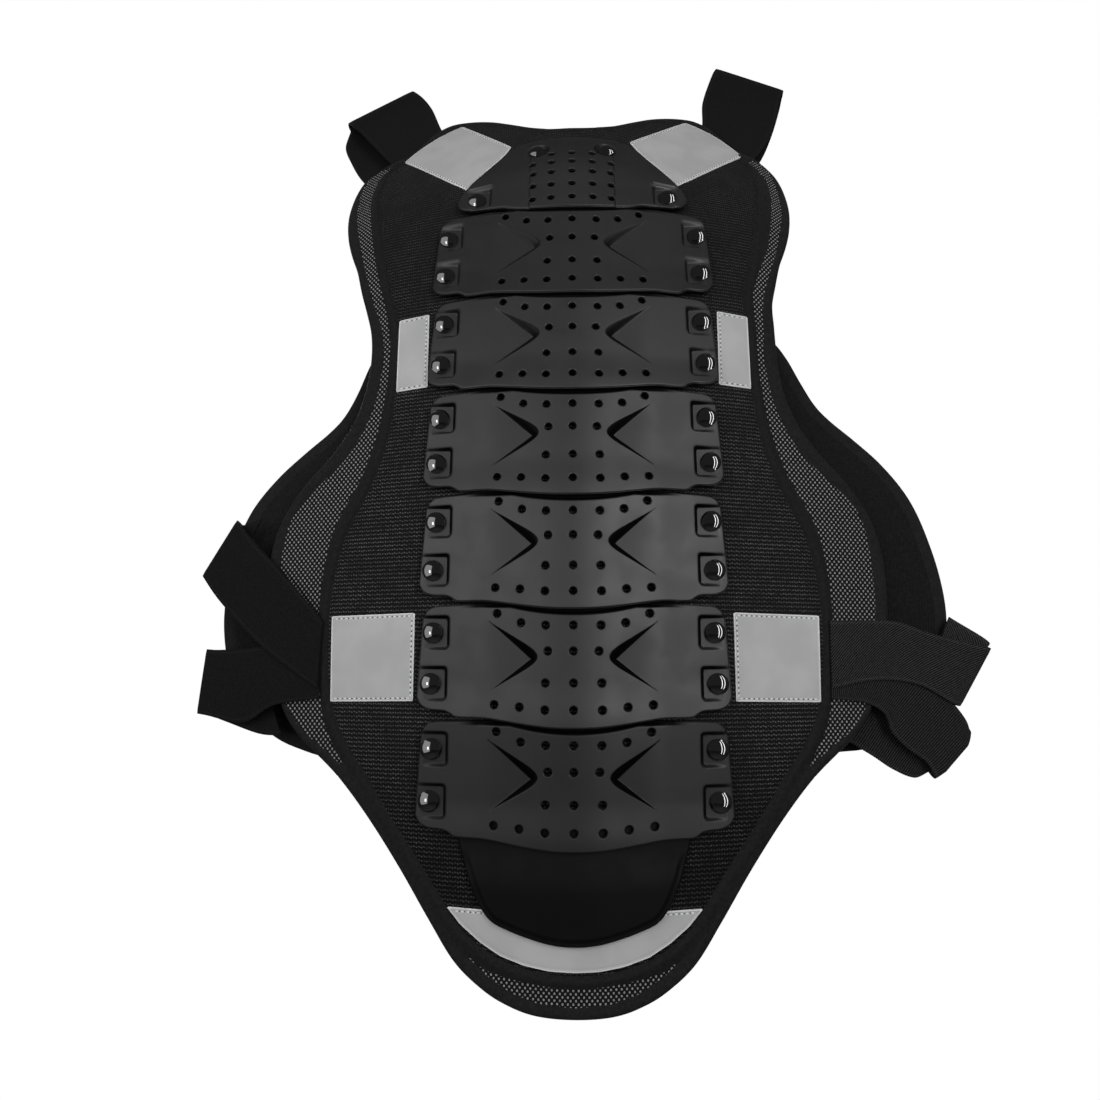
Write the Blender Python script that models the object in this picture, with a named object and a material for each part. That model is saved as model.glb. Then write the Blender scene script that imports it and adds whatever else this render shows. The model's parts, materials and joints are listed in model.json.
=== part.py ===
"""Back protector: a neck plate, six shingled spine plates and a tail plate on a padded textile
back panel, with rivets, reflective patches, kidney wings, waist straps and shoulder straps.

Axes: +X is the right of someone facing the plates, -Y points out of the plates (away from the
wearer), +Z points to the neck. The origin is on the flat strip of the lining at the waist.

Every sheet is first cut as a flat pattern in millimetres, with x across, y the depth towards
the wearer and z along the spine. It is then draped over the spine curve, in metres.
Front means the side of the plates (-Y), back the side of the wearer (+Y).
"""

from math import cos, hypot, pi, radians, sin, sqrt

import bmesh
import bpy
from mathutils import Matrix, Vector
from numpy import interp

MM = 0.001
SIDES = (("left", -1), ("right", 1))

# ---------------------------------------------------------------- dimensions (mm, degrees)
# Lean of the spine line from vertical, towards the wearer going up, at stations along it.
SPINE_STATIONS = (-300, -165, -99, -33, 33, 99, 165, 205, 225, 240, 300, 470)
SPINE_LEANS = (-10.5, -8.8, -6.2, -2.3, 1.0, 3.5, 6.5, 11.5, 18.0, 24.0, 26.0, 27.0)
SPINE_STEP = 0.5
SPINE_END_LOW, SPINE_END_HIGH = -320, 520
ORIGIN_Y, ORIGIN_Z = 18.834, -22.68  # the origin, measured from the crest at station 0
CREST_DEPTH = 5.76  # scale of the lateral curve of the shell
CREST_WIDTH = 25.0  # half width of its rounded crest

PLATE_PITCH = 65.3
PLATE_STATIONS = tuple(157.0 - PLATE_PITCH * i for i in range(6))
PLATE_THICK = 2.4
LIP_FLARE = 1.4  # how far the lower lip stands out
TONGUE_DROP = 3.2  # how far the upper tongue is set in
HOLE_DIAMETER = 4.4
PLATE_COLUMNS = (0, 11, 22, 36, 52, 72, 95)  # grid lines across, on both sides

POCKET_HALF = 8.5  # half side of the square pocket a rivet sits in
POCKET_FLOOR = 14.6  # depth of the flat pocket floor behind the crest
POCKET_FRONT = -4.0
POCKET_MIN_DEPTH = 0.05  # a pocket ends outwards where it is shallower than this
POCKET_END_STEP = 0.25
BOSS_MARGIN = 1.2  # material left around a pocket
BOSS_FRONT = 1.2  # bosses start inside the plate's thickness
PLATE_RIVETS = ((80.0, 18.2, POCKET_FLOOR), (81.0, -10.4, POCKET_FLOOR))  # across, along, floor
NECK_RIVETS = ((23.2, 249.0, 3.5), (62.4, 206.0, 11.0))

RIVET_HEAD = 12.0  # diameters of head and shank
RIVET_SHANK = 5.0
RIVET_DOME = 3.0
RIVET_RIM = 0.3  # height of the straight edge of the head
RIVET_RING_RATIOS = (0.45, 0.8)  # rings on the dome, as parts of the head radius
RIVET_LENGTH = 11.5
RIVET_SIDES = 8
RIVET_LIFT = 0.8  # the head sits this far in front of the pocket floor
RIVET_BORE = 6.0
PANEL_BORE = RIVET_BORE + 1.4

PANEL_FRONT = 6.0
PANEL_BACK = 15.0
LINING_FLAT = 30.0  # half width of the flat strip down the lining
PANEL_COLUMNS = (0, 15, 30, 50, 75, 100, 125, 150, 175, 200)
PANEL_TOP, PANEL_BOTTOM = 345.0, -300.0  # ends of the grid, clear of the outline
FLEX_GAP = 3.0  # slot between two panel segments
FLEX_LINES = tuple(189.7 - PLATE_PITCH * i for i in range(6)) + (-200.5,)
HINGE_DEPTH = 16.0  # depth of the flex axes behind the crest
SEGMENT_COUNT = len(FLEX_LINES) + 1
WAIST_SEGMENT = 4  # counted from 0 at the neck

PATCH_FRONT, PATCH_BACK = 5.1, 5.7
WING_THICK = 2.5
WING_DEPTH = 18.2
WING_MIDDLE = -39.0  # station where the wings lie closest to the shell
WING_BOW = 0.0008  # how fast they stand further back above and below it
WING_HINGE = 120.0  # half distance between the wing hinge lines
WEBBING = 1.2
FOLD_RADIUS = 3.0
FOLD_TURNS = 6

# Spine plate holes: height from the plate centre, then the offsets on either side.
PLATE_HOLES = (
    (28.6, (42.7,)),
    (23.3, (29.1,)),
    (21.8, (15.3, 0.0)),
    (7.6, (14.1, 0.0)),
    (-9.8, (15.5, 0.0)),
    (-21.7, (43.9,)),
    (-22.9, (29.8,)),
    (-24.4, (15.7, 0.0)),
)
# Neck plate holes: station along the spine, then the offsets on either side.
NECK_HOLES = (
    (196.0, (0.0, 13.5, 25.5)),
    (208.8, (0.0, 13.5, 25.5)),
    (221.0, (0.0, 13.5, 25.5)),
    (231.6, (0.0, 13.5, 26.0)),
    (241.8, (0.0, 13.5)),
)

# ---------------------------------------------------------------- outlines, as (across, along)
# Right half, from the top centre to the bottom centre.
PANEL_HALF = (
    (0, 291), (14, 292.5), (28, 300), (44, 313), (58, 324), (73, 332), (88, 336), (98, 333),
    (106, 325), (114, 311), (121, 300), (129, 296), (138, 292), (147, 281), (152, 266),
    (154, 248), (154, 225), (152, 204), (148, 187), (142, 169), (137.5, 151), (133, 134),
    (130.3, 118), (129.2, 102), (129.7, 85), (132.5, 68), (138, 51.5), (147, 36.5), (157, 24),
    (168, 11.5), (177, -2), (183, -15), (187.3, -32), (189, -55), (188.3, -75), (186, -95),
    (181, -115), (172.5, -135), (162.5, -148), (153, -156.5), (136, -172), (117, -194),
    (98, -220), (81, -246), (66, -267), (50, -280), (36, -287), (21, -291), (0, -292),
)
PATCH_BOTTOM_HALF = (
    (0, -238), (71, -238), (63, -247), (52, -255.5), (40.5, -262), (27, -266), (13.5, -268),
    (0, -268.4),
)
# Right half, from the bottom centre to the top centre; the spine plate is about its own centre.
PLATE_HALF = (
    (0, -34.2), (22, -33.2), (44, -30.4), (63, -27.6), (68, -27.2), (79, -25.6), (84.5, -23.4),
    (88, -18.5), (88.6, -12), (86.4, 22), (84.4, 29), (79.5, 33), (62, 34), (44, 35.2),
    (38, 37.4), (20, 38), (0, 38),
)
NECK_HALF = (
    (0, 187.5), (22, 188.8), (36, 191.2), (45, 194.2), (56, 195.4), (66, 197), (72, 199.4),
    (75.4, 204), (74.6, 211), (69, 222), (57.5, 237.5), (46.5, 252), (41, 259), (33, 263.6),
    (0, 264.5),
)
TAIL_HALF = (
    (0, -254), (12, -253.2), (24, -250.6), (36, -247), (46, -242.4), (53, -233), (59, -218.5),
    (64, -201), (65.5, -192), (62, -189), (0, -189),
)
# Wing edges before their left and right trims: outer from the top down, inner from the foot up.
WING_OUTER = (
    (114, 132), (126, 136), (135, 126), (141, 110), (147, 88), (154, 70), (163, 58), (178, 44),
    (193, 29), (206, 12), (214, -3), (220, -21), (225, -42), (228, -64), (228, -82),
    (225, -102), (217, -121), (203, -138), (188, -149), (172, -155.5), (156, -160),
    (138, -165), (124, -164),
)
WING_INNER = ((117.5, -158), (117.5, -80), (117.5, 0), (115, 80), (111, 118))

# Paired patches: name, segment, right outline, grid lines along.
SIDE_PATCHES = (
    ("upper", 0,
     ((81, 327), (119, 291), (72, 229), (61, 244), (50.5, 258), (45, 269), (37.5, 281)),
     (220, 240, 262, 284, 306, 335)),
    ("middle", 2, ((91, 122.5), (111, 121), (110, 69), (89.5, 70)), (60, 95, 130)),
    ("lower", 5, ((92, -73.5), (144, -74.5), (143, -126), (92, -125)), (-135, -100, -60)),
)  # fmt: skip


# ---------------------------------------------------------------- the spine curve
def lean_at(along):
    return radians(interp(along, SPINE_STATIONS, SPINE_LEANS))


def spine_table():
    """(y, z) of the spine line by step number, with (0, 0) at step 0."""
    table = {0: (0.0, 0.0)}
    for way, end in ((1, SPINE_END_HIGH), (-1, SPINE_END_LOW)):
        y = z = 0.0
        for k in range(1, int(abs(end) / SPINE_STEP) + 1):
            lean = lean_at(way * (k - 0.5) * SPINE_STEP)
            y += way * sin(lean) * SPINE_STEP
            z += way * cos(lean) * SPINE_STEP
            table[way * k] = (y, z)
    return table


SPINE = spine_table()


def spine(along):
    """(y, z) of the crest at a station, from the part's origin."""
    k = int(along // SPINE_STEP)
    part = along / SPINE_STEP - k
    (y0, z0), (y1, z1) = SPINE[k], SPINE[k + 1]
    return y0 + part * (y1 - y0) - ORIGIN_Y, z0 + part * (z1 - z0) - ORIGIN_Z


def shell_depth(across):
    """How far the front of the shell falls back from its crest."""
    return CREST_DEPTH * (sqrt(1 + (across / CREST_WIDTH) ** 2) - 1)


def ramp(start, end, value):
    """A smooth step from 0 at start to 1 at end; start may be the larger."""
    part = min(max((value - start) / (end - start), 0.0), 1.0)
    return part * part * (3 - 2 * part)


def drape(across, depth, along):
    """A point of a flat pattern, in mm, laid over the spine curve, in metres."""
    y, z = spine(along)
    lean = lean_at(along)
    total = shell_depth(across) + depth
    return Vector((across * MM, (y + total * cos(lean)) * MM, (z - total * sin(lean)) * MM))


# ---------------------------------------------------------------- materials
def material(name, colour, roughness, metallic=0.0):
    mat = bpy.data.materials.new(name)
    mat.use_nodes = True
    shader = mat.node_tree.nodes["Principled BSDF"]
    shader.inputs["Base Color"].default_value = (*colour, 1.0)
    shader.inputs["Roughness"].default_value = roughness
    shader.inputs["Metallic"].default_value = metallic
    mat.diffuse_color = (*colour, 1.0)
    return mat


for old in list(bpy.data.objects):
    bpy.data.objects.remove(old, do_unlink=True)

PLATE_MAT = material("armour_plastic", colour=(0.055, 0.056, 0.058), roughness=0.34)
TAIL_MAT = material("tail_plastic", colour=(0.012, 0.012, 0.013), roughness=0.5)
RIVET_MAT = material("rivet_steel", colour=(0.16, 0.16, 0.165), roughness=0.22, metallic=1.0)
PANEL_MAT = material("panel_textile", colour=(0.020, 0.020, 0.021), roughness=0.9)
PATCH_MAT = material("reflective_film", colour=(0.42, 0.42, 0.43), roughness=0.45)
STRAP_MAT = material("webbing", colour=(0.014, 0.014, 0.015), roughness=0.8)
WING_MAT = material("elastic", colour=(0.018, 0.018, 0.019), roughness=0.85)


# ---------------------------------------------------------------- flat patterns
def link_object(name, data):
    obj = bpy.data.objects.new(name, data)
    bpy.context.scene.collection.objects.link(obj)
    return obj


def mesh_of(name, shape):
    """Turns a bmesh into a mesh and frees it."""
    mesh = bpy.data.meshes.new(name)
    shape.to_mesh(mesh)
    shape.free()
    return mesh


def object_of(name, shape, mat):
    mesh = mesh_of(name, shape)
    mesh.materials.append(mat)
    return link_object(name, mesh)


def closed(shape):
    """Turns all faces of a finished shape outwards."""
    bmesh.ops.recalc_face_normals(shape, faces=shape.faces)
    return shape


def slab(columns, rows, front, back):
    """A closed sheet on a grid; front and back give its depth at (across, along)."""
    shape = bmesh.new()
    near, far = [
        [[shape.verts.new((x, side(x, z), z)) for x in columns] for z in rows]
        for side in (front, back)
    ]
    last_column, last_row = len(columns) - 1, len(rows) - 1
    for j in range(last_row):
        for i in range(last_column):
            shape.faces.new((near[j][i], near[j][i + 1], near[j + 1][i + 1], near[j + 1][i]))
            shape.faces.new((far[j][i], far[j + 1][i], far[j + 1][i + 1], far[j][i + 1]))
    for i in range(last_column):
        for j, flip in ((0, False), (last_row, True)):
            quad = (near[j][i], far[j][i], far[j][i + 1], near[j][i + 1])
            shape.faces.new(quad[::-1] if flip else quad)
    for j in range(last_row):
        for i, flip in ((0, True), (last_column, False)):
            quad = (near[j][i], far[j][i], far[j + 1][i], near[j + 1][i])
            shape.faces.new(quad[::-1] if flip else quad)
    return closed(shape)


def even_slab(columns, rows, front, back):
    """A slab between two constant depths."""
    return slab(columns, rows, lambda x, z: front, lambda x, z: back)


def prism(outline, front, back):
    """A flat outline of (across, along) extruded through the depth."""
    shape = bmesh.new()
    face = shape.faces.new([shape.verts.new((x, front, z)) for x, z in outline])
    made = bmesh.ops.extrude_face_region(shape, geom=[face])["geom"]
    moved = [item for item in made if isinstance(item, bmesh.types.BMVert)]
    bmesh.ops.translate(shape, verts=moved, vec=(0, back - front, 0))
    return closed(shape)


def bores(places, diameter, sides, front=-8.0, back=30.0):
    """Straight round cutters through the depth, one at each (across, along)."""
    shape = bmesh.new()
    turn = Matrix.Rotation(pi / 2, 4, "X") @ Matrix.Rotation(pi / sides, 4, "Z")
    for x, z in places:
        bmesh.ops.create_cone(
            shape,
            cap_ends=True,
            segments=sides,
            radius1=diameter / 2,
            radius2=diameter / 2,
            depth=back - front,
            matrix=Matrix.Translation((x, (front + back) / 2, z)) @ turn,
        )
    return closed(shape)


def wedges(blocks):
    """Blocks (x0, x1, z0, z1, front, back at x0, back at x1), each a wedge in depth."""
    shape = bmesh.new()
    for x0, x1, z0, z1, front, back0, back1 in blocks:
        corners = [
            shape.verts.new(point)
            for point in (
                (x0, front, z0), (x1, front, z0), (x1, front, z1), (x0, front, z1),
                (x0, back0, z0), (x1, back1, z0), (x1, back1, z1), (x0, back0, z1),
            )
        ]  # fmt: skip
        for loop in (
            (0, 1, 2, 3), (7, 6, 5, 4), (0, 4, 5, 1), (1, 5, 6, 2), (2, 6, 7, 3), (3, 7, 4, 0),
        ):  # fmt: skip
            shape.faces.new([corners[i] for i in loop])
    return closed(shape)


def boolean(obj, shape, operation):
    """Applies an exact Boolean with a throw-away cutter."""
    cutter = link_object("cutter", mesh_of("cutter", shape))
    modifier = obj.modifiers.new(operation.lower(), "BOOLEAN")
    modifier.object = cutter
    modifier.operation = operation
    modifier.solver = "EXACT"
    bpy.context.view_layer.update()
    evaluated = obj.evaluated_get(bpy.context.evaluated_depsgraph_get())
    done = bpy.data.meshes.new_from_object(evaluated)
    obj.modifiers.clear()
    obj.data = done
    bpy.data.objects.remove(cutter, do_unlink=True)


def shade(mesh, sharp):
    mesh.shade_smooth()
    mesh.set_sharp_from_angle(angle=radians(sharp))


def reshape(obj, place, sharp=35):
    """Triangulates a flat pattern and moves each point by place(across, depth, along)."""
    shape = bmesh.new()
    shape.from_mesh(obj.data)
    bmesh.ops.remove_doubles(shape, verts=shape.verts, dist=0.002)
    bmesh.ops.triangulate(shape, faces=shape.faces)
    for vert in shape.verts:
        vert.co = place(*vert.co)
    shape.to_mesh(obj.data)
    shape.free()
    shade(obj.data, sharp)


def mirrored(half):
    """A closed outline from a half one that starts and ends on the centre line."""
    return list(half) + [(-x, z) for x, z in half[::-1] if x]


def both_sides(places):
    return [(x * side, z) for x, z in places for side in ((1, -1) if x else (1,))]


def hole_places(rows):
    return both_sides([(x, z) for z, offsets in rows for x in offsets])


def symmetric(columns):
    return sorted({side * x for x in columns for side in (1, -1)})


# ---------------------------------------------------------------- joints, as empties
JOINTS = {}  # world place of each empty, by name


def empty(name, place, parent=None):
    pivot = link_object(name, None)
    pivot.empty_display_size = 0.02
    pivot.parent = parent
    pivot.location = Vector(place) - (JOINTS[parent.name] if parent else Vector((0, 0, 0)))
    JOINTS[name] = Vector(place)
    return pivot


def segment_pivots():
    """The empty each panel segment hangs from, neck first, chained outwards from the waist."""
    pivots = [None] * SEGMENT_COUNT
    pivots[WAIST_SEGMENT] = empty("pivot_waist", (0, 0, 0))
    above = range(WAIST_SEGMENT - 1, -1, -1)
    below = range(WAIST_SEGMENT + 1, SEGMENT_COUNT)
    for k in (*above, *below):
        parent = k + 1 if k < WAIST_SEGMENT else k - 1
        line = min(k, parent)
        place = drape(0, HINGE_DEPTH, FLEX_LINES[line])
        pivots[k] = empty(f"pivot_flex_{line + 1}", place, pivots[parent])
    return pivots


SEGMENTS = segment_pivots()


def hang(obj, pivot, place):
    """Parents a piece to its joint, with its own origin at a world place."""
    obj.parent = pivot
    obj.location = Vector(place) - JOINTS[pivot.name]


def drape_on(obj, pivot, extra_depth=lambda along: 0.0, sharp=35):
    """Drapes a flat pattern over the spine and hangs it with its origin on the joint."""
    home = JOINTS[pivot.name]
    reshape(obj, lambda x, y, z: drape(x, y + extra_depth(z), z) - home, sharp)
    hang(obj, pivot, home)


# ---------------------------------------------------------------- armour plates
def pocket_blocks(rivets):
    """Bosses and pockets that give each rivet a flat seat on the sloping shell."""
    bosses, pockets = [], []
    for across, along, floor in rivets:

        def level(x):
            return floor - shell_depth(x)

        inner, outer = across - POCKET_HALF, across + POCKET_HALF
        low, high = along - POCKET_HALF, along + POCKET_HALF
        while level(outer) < POCKET_MIN_DEPTH:
            outer -= POCKET_END_STEP
        boss_backs = (PLATE_THICK + level(inner), PLATE_THICK + level(outer))
        for side in (1, -1):
            bosses.append((
                side * (inner - BOSS_MARGIN), side * outer,
                low - BOSS_MARGIN, high + BOSS_MARGIN, BOSS_FRONT, *boss_backs,
            ))  # fmt: skip
            pockets.append((
                side * inner, side * outer, low, high, POCKET_FRONT, level(inner), level(outer),
            ))  # fmt: skip
    return bosses, pockets


def plate_pattern(name, rows, half, rivets, holes):
    sheet = even_slab(symmetric(PLATE_COLUMNS), rows, 0.0, PLATE_THICK)
    plate = object_of(name, sheet, PLATE_MAT)
    bosses, pockets = pocket_blocks(rivets)
    rivet_places = both_sides([(x, z) for x, z, _ in rivets])
    boolean(plate, wedges(bosses), "UNION")
    boolean(plate, wedges(pockets), "DIFFERENCE")
    boolean(plate, prism(mirrored(half), -9.0, 12.0), "INTERSECT")
    boolean(plate, bores(rivet_places, RIVET_BORE, sides=10), "DIFFERENCE")
    boolean(plate, bores(hole_places(holes), HOLE_DIAMETER, sides=6), "DIFFERENCE")
    return plate


def plate_flare(height):
    """Depth added by the lower lip of a spine plate, at a height from its centre."""
    return -LIP_FLARE * ramp(-8, -32, height)


def neck_flare(along):
    return -LIP_FLARE * ramp(212, 190, along)


def plate_place(x, y, z):
    """Curves a spine plate across; its tongue is the middle of its top edge."""
    tuck = TONGUE_DROP * ramp(26.5, 31.5, z) * ramp(52, 40, abs(x))
    return Vector((x * MM, (shell_depth(x) + y + plate_flare(z) + tuck) * MM, z * MM))


def build_spine_plates():
    """Six plates that share one straight mesh, each turned to the lean at its station."""
    rows = (-40, -30, -20, -8, 26.5, 31.5, 42)
    first = plate_pattern("spine_plate_1", rows, PLATE_HALF, PLATE_RIVETS, PLATE_HOLES)
    reshape(first, plate_place)
    for k, station in enumerate(PLATE_STATIONS, start=1):
        plate = first if k == 1 else link_object(f"spine_plate_{k}", first.data)
        hang(plate, SEGMENTS[k], drape(0, 0, station))
        plate.rotation_euler = (-lean_at(station), 0, 0)


def build_neck_plate():
    rows = (180, 190, 205, 219, 232, 245, 270)
    neck = plate_pattern("neck_plate", rows, NECK_HALF, NECK_RIVETS, NECK_HOLES)
    drape_on(neck, SEGMENTS[0], neck_flare)


def tail_depth(along):
    """The tail plate lies deeper at its top than at its foot."""
    return 2.8 - 2.2 * ramp(-200, -226, along)


def build_tail_plate():
    rows = (-262, -246, -232, -226, -213, -200, -180)
    sheet = even_slab(symmetric(PLATE_COLUMNS), rows, 0.0, PLATE_THICK)
    tail = object_of("tail_plate", sheet, TAIL_MAT)
    boolean(tail, prism(mirrored(TAIL_HALF), -6.0, 12.0), "INTERSECT")
    drape_on(tail, SEGMENTS[-1], tail_depth)


# ---------------------------------------------------------------- rivets
def rivet_mesh():
    """A domed rivet turned about Y, seat at y = 0, head towards -Y."""
    head, shank = RIVET_HEAD / 2, RIVET_SHANK / 2
    ball = (head * head + RIVET_DOME * RIVET_DOME) / (2 * RIVET_DOME)  # radius of the dome
    profile = [(0.0, -RIVET_DOME)]  # (radius, y)
    for ratio in RIVET_RING_RATIOS:
        radius = head * ratio
        profile.append((radius, ball - RIVET_DOME - sqrt(ball * ball - radius * radius)))
    profile += [(head, -RIVET_RIM), (head, 0.0)]
    profile += [(shank, 0.0), (shank, RIVET_LENGTH), (0.0, RIVET_LENGTH)]
    shape = bmesh.new()
    angles = [2 * pi * i / RIVET_SIDES for i in range(RIVET_SIDES)]
    rings = []
    for radius, y in profile:
        turns = angles if radius else [0.0]  # a single point on the axis
        rings.append([
            shape.verts.new((radius * cos(turn) * MM, y * MM, radius * sin(turn) * MM))
            for turn in turns
        ])
    for ring, after in zip(rings, rings[1:]):
        for i in range(RIVET_SIDES):
            j = (i + 1) % RIVET_SIDES
            loop = [
                ring[i % len(ring)], ring[j % len(ring)],
                after[j % len(after)], after[i % len(after)],
            ]  # fmt: skip
            shape.faces.new(list(dict.fromkeys(loop)))  # a repeated axis point makes a triangle
    mesh = mesh_of("rivet", closed(shape))
    mesh.materials.append(RIVET_MAT)
    shade(mesh, 40)
    return mesh


def place_rivet(name, mesh, pivot, across, station, height, floor):
    """Seats a rivet on a floor behind the crest, square to the lean at a station."""
    lean = lean_at(station)
    depth = (floor - RIVET_LIFT) * MM
    rise = height * MM
    offset = Vector((
        across * MM,
        depth * cos(lean) + rise * sin(lean),
        rise * cos(lean) - depth * sin(lean),
    ))
    rivet = link_object(name, mesh)
    hang(rivet, pivot, drape(0, 0, station) + offset)
    rivet.rotation_euler = (-lean, 0, 0)


def build_rivets():
    mesh = rivet_mesh()
    levels = ("upper", "lower")
    for side_name, side in SIDES:
        for level, (x, along, floor) in zip(levels, NECK_RIVETS):
            name = f"rivet_neck_{level}_{side_name}"
            seat = floor + neck_flare(along)
            place_rivet(name, mesh, SEGMENTS[0], side * x, along, 0.0, seat)
        for k, station in enumerate(PLATE_STATIONS, start=1):
            for level, (x, height, floor) in zip(levels, PLATE_RIVETS):
                name = f"rivet_{k}_{level}_{side_name}"
                seat = floor + plate_flare(height)
                place_rivet(name, mesh, SEGMENTS[k], side * x, station, height, seat)


# ---------------------------------------------------------------- back panel
def settle(across, along):
    """Shifts the upper panel left, its right edge most, and makes its foot wider and longer."""
    upper = ramp(105, 145, along) * ramp(300, 283, along)
    narrowing = 0.9 if across > 0 else -0.9 if across < 0 else 0.0
    wider = across * (1 + 0.014 * ramp(-150, -230, along))
    return wider - upper * (3.6 + narrowing), along - 2.2 * ramp(-225, -290, along)


def lining(across, along):
    """Back of the panel: flat down the middle, then following the shell."""
    return PANEL_BACK + max(0.0, shell_depth(LINING_FLAT) - shell_depth(across))


def panel_front(across, along):
    return PANEL_FRONT


def panel_rivets(k):
    """Rivet places (across, along) through panel segment k; the last segment has none."""
    if k == 0:
        return [(x, z) for x, z, _ in NECK_RIVETS]
    return [(x, PLATE_STATIONS[k - 1] + z) for x, z, _ in PLATE_RIVETS]


def build_panel():
    """Eight segments, neck first, with a slot at each flex line."""
    edges = (PANEL_TOP, *FLEX_LINES, PANEL_BOTTOM)
    final = SEGMENT_COUNT - 1
    outline = [settle(x, z) for x, z in mirrored(PANEL_HALF)]
    for k, pivot in enumerate(SEGMENTS):
        top = edges[k] - (FLEX_GAP / 2 if k else 0)
        low = edges[k + 1] + (FLEX_GAP / 2 if k < final else 0)
        count = {0: 6, final: 4}.get(k, 2)
        rows = [low + (top - low) * i / count for i in range(count + 1)]
        sheet = slab(symmetric(PANEL_COLUMNS), rows, panel_front, lining)
        segment = object_of(f"back_panel_{k + 1}", sheet, PANEL_MAT)
        boolean(segment, prism(outline, -5.0, 40.0), "INTERSECT")
        if k < final:
            places = both_sides(panel_rivets(k))
            boolean(segment, bores(places, PANEL_BORE, 8, front=-2.0, back=45.0), "DIFFERENCE")
        drape_on(segment, pivot)


# ---------------------------------------------------------------- reflective patches
def build_patch(name, outline, columns, rows, pivot):
    sheet = even_slab(columns, rows, PATCH_FRONT, PATCH_BACK)
    patch = object_of(f"reflective_{name}", sheet, PATCH_MAT)
    boolean(patch, prism(outline, 0.0, 12.0), "INTERSECT")
    drape_on(patch, pivot)


def build_patches():
    for side_name, side in SIDES:
        columns = sorted(side * x for x in range(30, 156, 25))
        for name, k, points, rows in SIDE_PATCHES:
            outline = [(side * x, z) for x, z in points]
            build_patch(f"{name}_{side_name}", outline, columns, rows, SEGMENTS[k])
    outline = mirrored(PATCH_BOTTOM_HALF)
    build_patch("bottom", outline, range(-80, 81, 16), (-275, -258, -230), SEGMENTS[-1])


# ---------------------------------------------------------------- kidney wings
def wing_depth(along):
    return WING_DEPTH + WING_BOW * (along - WING_MIDDLE) ** 2


def wing_edge(side):
    """The outer edge of a wing; the right wing is cut wider than the left."""
    points = []
    for x, z in WING_OUTER:
        trim = ramp(118, 150, x)  # the trims fade in away from the panel
        head, foot = ramp(-40, 30, z), ramp(-110, -150, z)
        if side > 0:
            points.append((x + 4.2 * trim, z + trim * (5.0 * head - 5.0 * foot)))
        else:
            inset = 3.6 + 2.0 * ramp(-15, -70, z) * ramp(-135, -105, z)
            points.append((-x + inset * trim, z - trim * (1.5 * head + 3.5 * foot)))
    return points


def build_wings():
    hinge_depth = wing_depth(WING_MIDDLE) + WING_THICK / 2
    for side_name, side in SIDES:
        place = drape(side * WING_HINGE, hinge_depth, WING_MIDDLE)
        pivot = empty(f"pivot_wing_{side_name}", place, SEGMENTS[WAIST_SEGMENT])
        columns = sorted(side * x for x in range(100, 241, 28))
        sheet = even_slab(columns, range(-180, 151, 30), 0.0, WING_THICK)
        wing = object_of(f"kidney_wing_{side_name}", sheet, WING_MAT)
        outline = wing_edge(side) + [(side * x, z) for x, z in WING_INNER]
        boolean(wing, prism(outline, -5.0, 10.0), "INTERSECT")
        drape_on(wing, pivot, wing_depth)


# ---------------------------------------------------------------- straps
# A strap runs through its front rows, folds over at the crease and runs back through its back
# rows. A row is (depth, points); the crease is points alone. Points are (across, along), either
# the two ends of the row or every point over the strap's width.
SHOULDER_ROOT = ((131, 297), (123, 301), (115, 313.5), (107, 327), (98, 335))
WAIST_STRAPS = {
    "upper_left": dict(
        front=(
            (3.0, ((-151, -118), (-149, -78))),
            (2.4, ((-167, -107.5), (-158, -67))),
            (1.8, ((-190, -90.5), (-178, -45))),
            (2.6, ((-220, -61), (-200, -22.5))),
        ),
        crease=((-232, -45.5), (-211, -9.5)),
        back=((9.4, ((-222, -55), (-197, -12))),),
    ),
    "lower_left": dict(
        front=(
            (4.5, ((-150, -124), (-150, -94))),
            (4.5, ((-180, -129), (-189, -93))),
            (6.4, ((-199, -139.5), (-203, -94))),
            (7.4, ((-225, -136), (-220, -94.5))),
        ),
        crease=((-232.5, -135), (-228, -94)),
        back=(
            (13.6, ((-212, -141), (-218, -96))),
            (13.6, ((-190, -146.5), (-210, -97.5))),
        ),
    ),
    "upper_right": dict(
        front=(
            (3.0, ((152, -118), (153, -77))),
            (2.8, ((169, -114), (170, -77))),
            (3.2, ((186, -113), (192, -77.5))),
            (4.6, ((207, -117), (213, -84))),
            (5.6, ((227, -128), (242, -90.5))),
        ),
        crease=((232, -129.5), (255, -93.5)),
        back=((12.0, ((226, -121), (248, -87))), (12.6, ((214, -108), (230, -74)))),
    ),
    "lower_right": dict(
        front=(
            (4.5, ((152, -124), (153, -98))),
            (4.5, ((171, -126.8), (188, -100))),
            (6.2, ((182.5, -133.5), (204, -107.5))),
            (7.2, ((187, -144.5), (216, -117))),
            (7.8, ((198, -155.5), (227.5, -127.5))),
            (8.2, ((209, -163.5), (236, -139))),
        ),
        crease=((215, -173.5), (222, -169.5), (237.5, -154), (239.5, -147)),
        back=(
            (15.4, ((203, -176), (228, -146))),
            (15.8, ((189, -170.5), (213, -140))),
            (16.0, ((178, -163), (199, -134))),
        ),
        radius=3.6,
    ),
}
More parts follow.
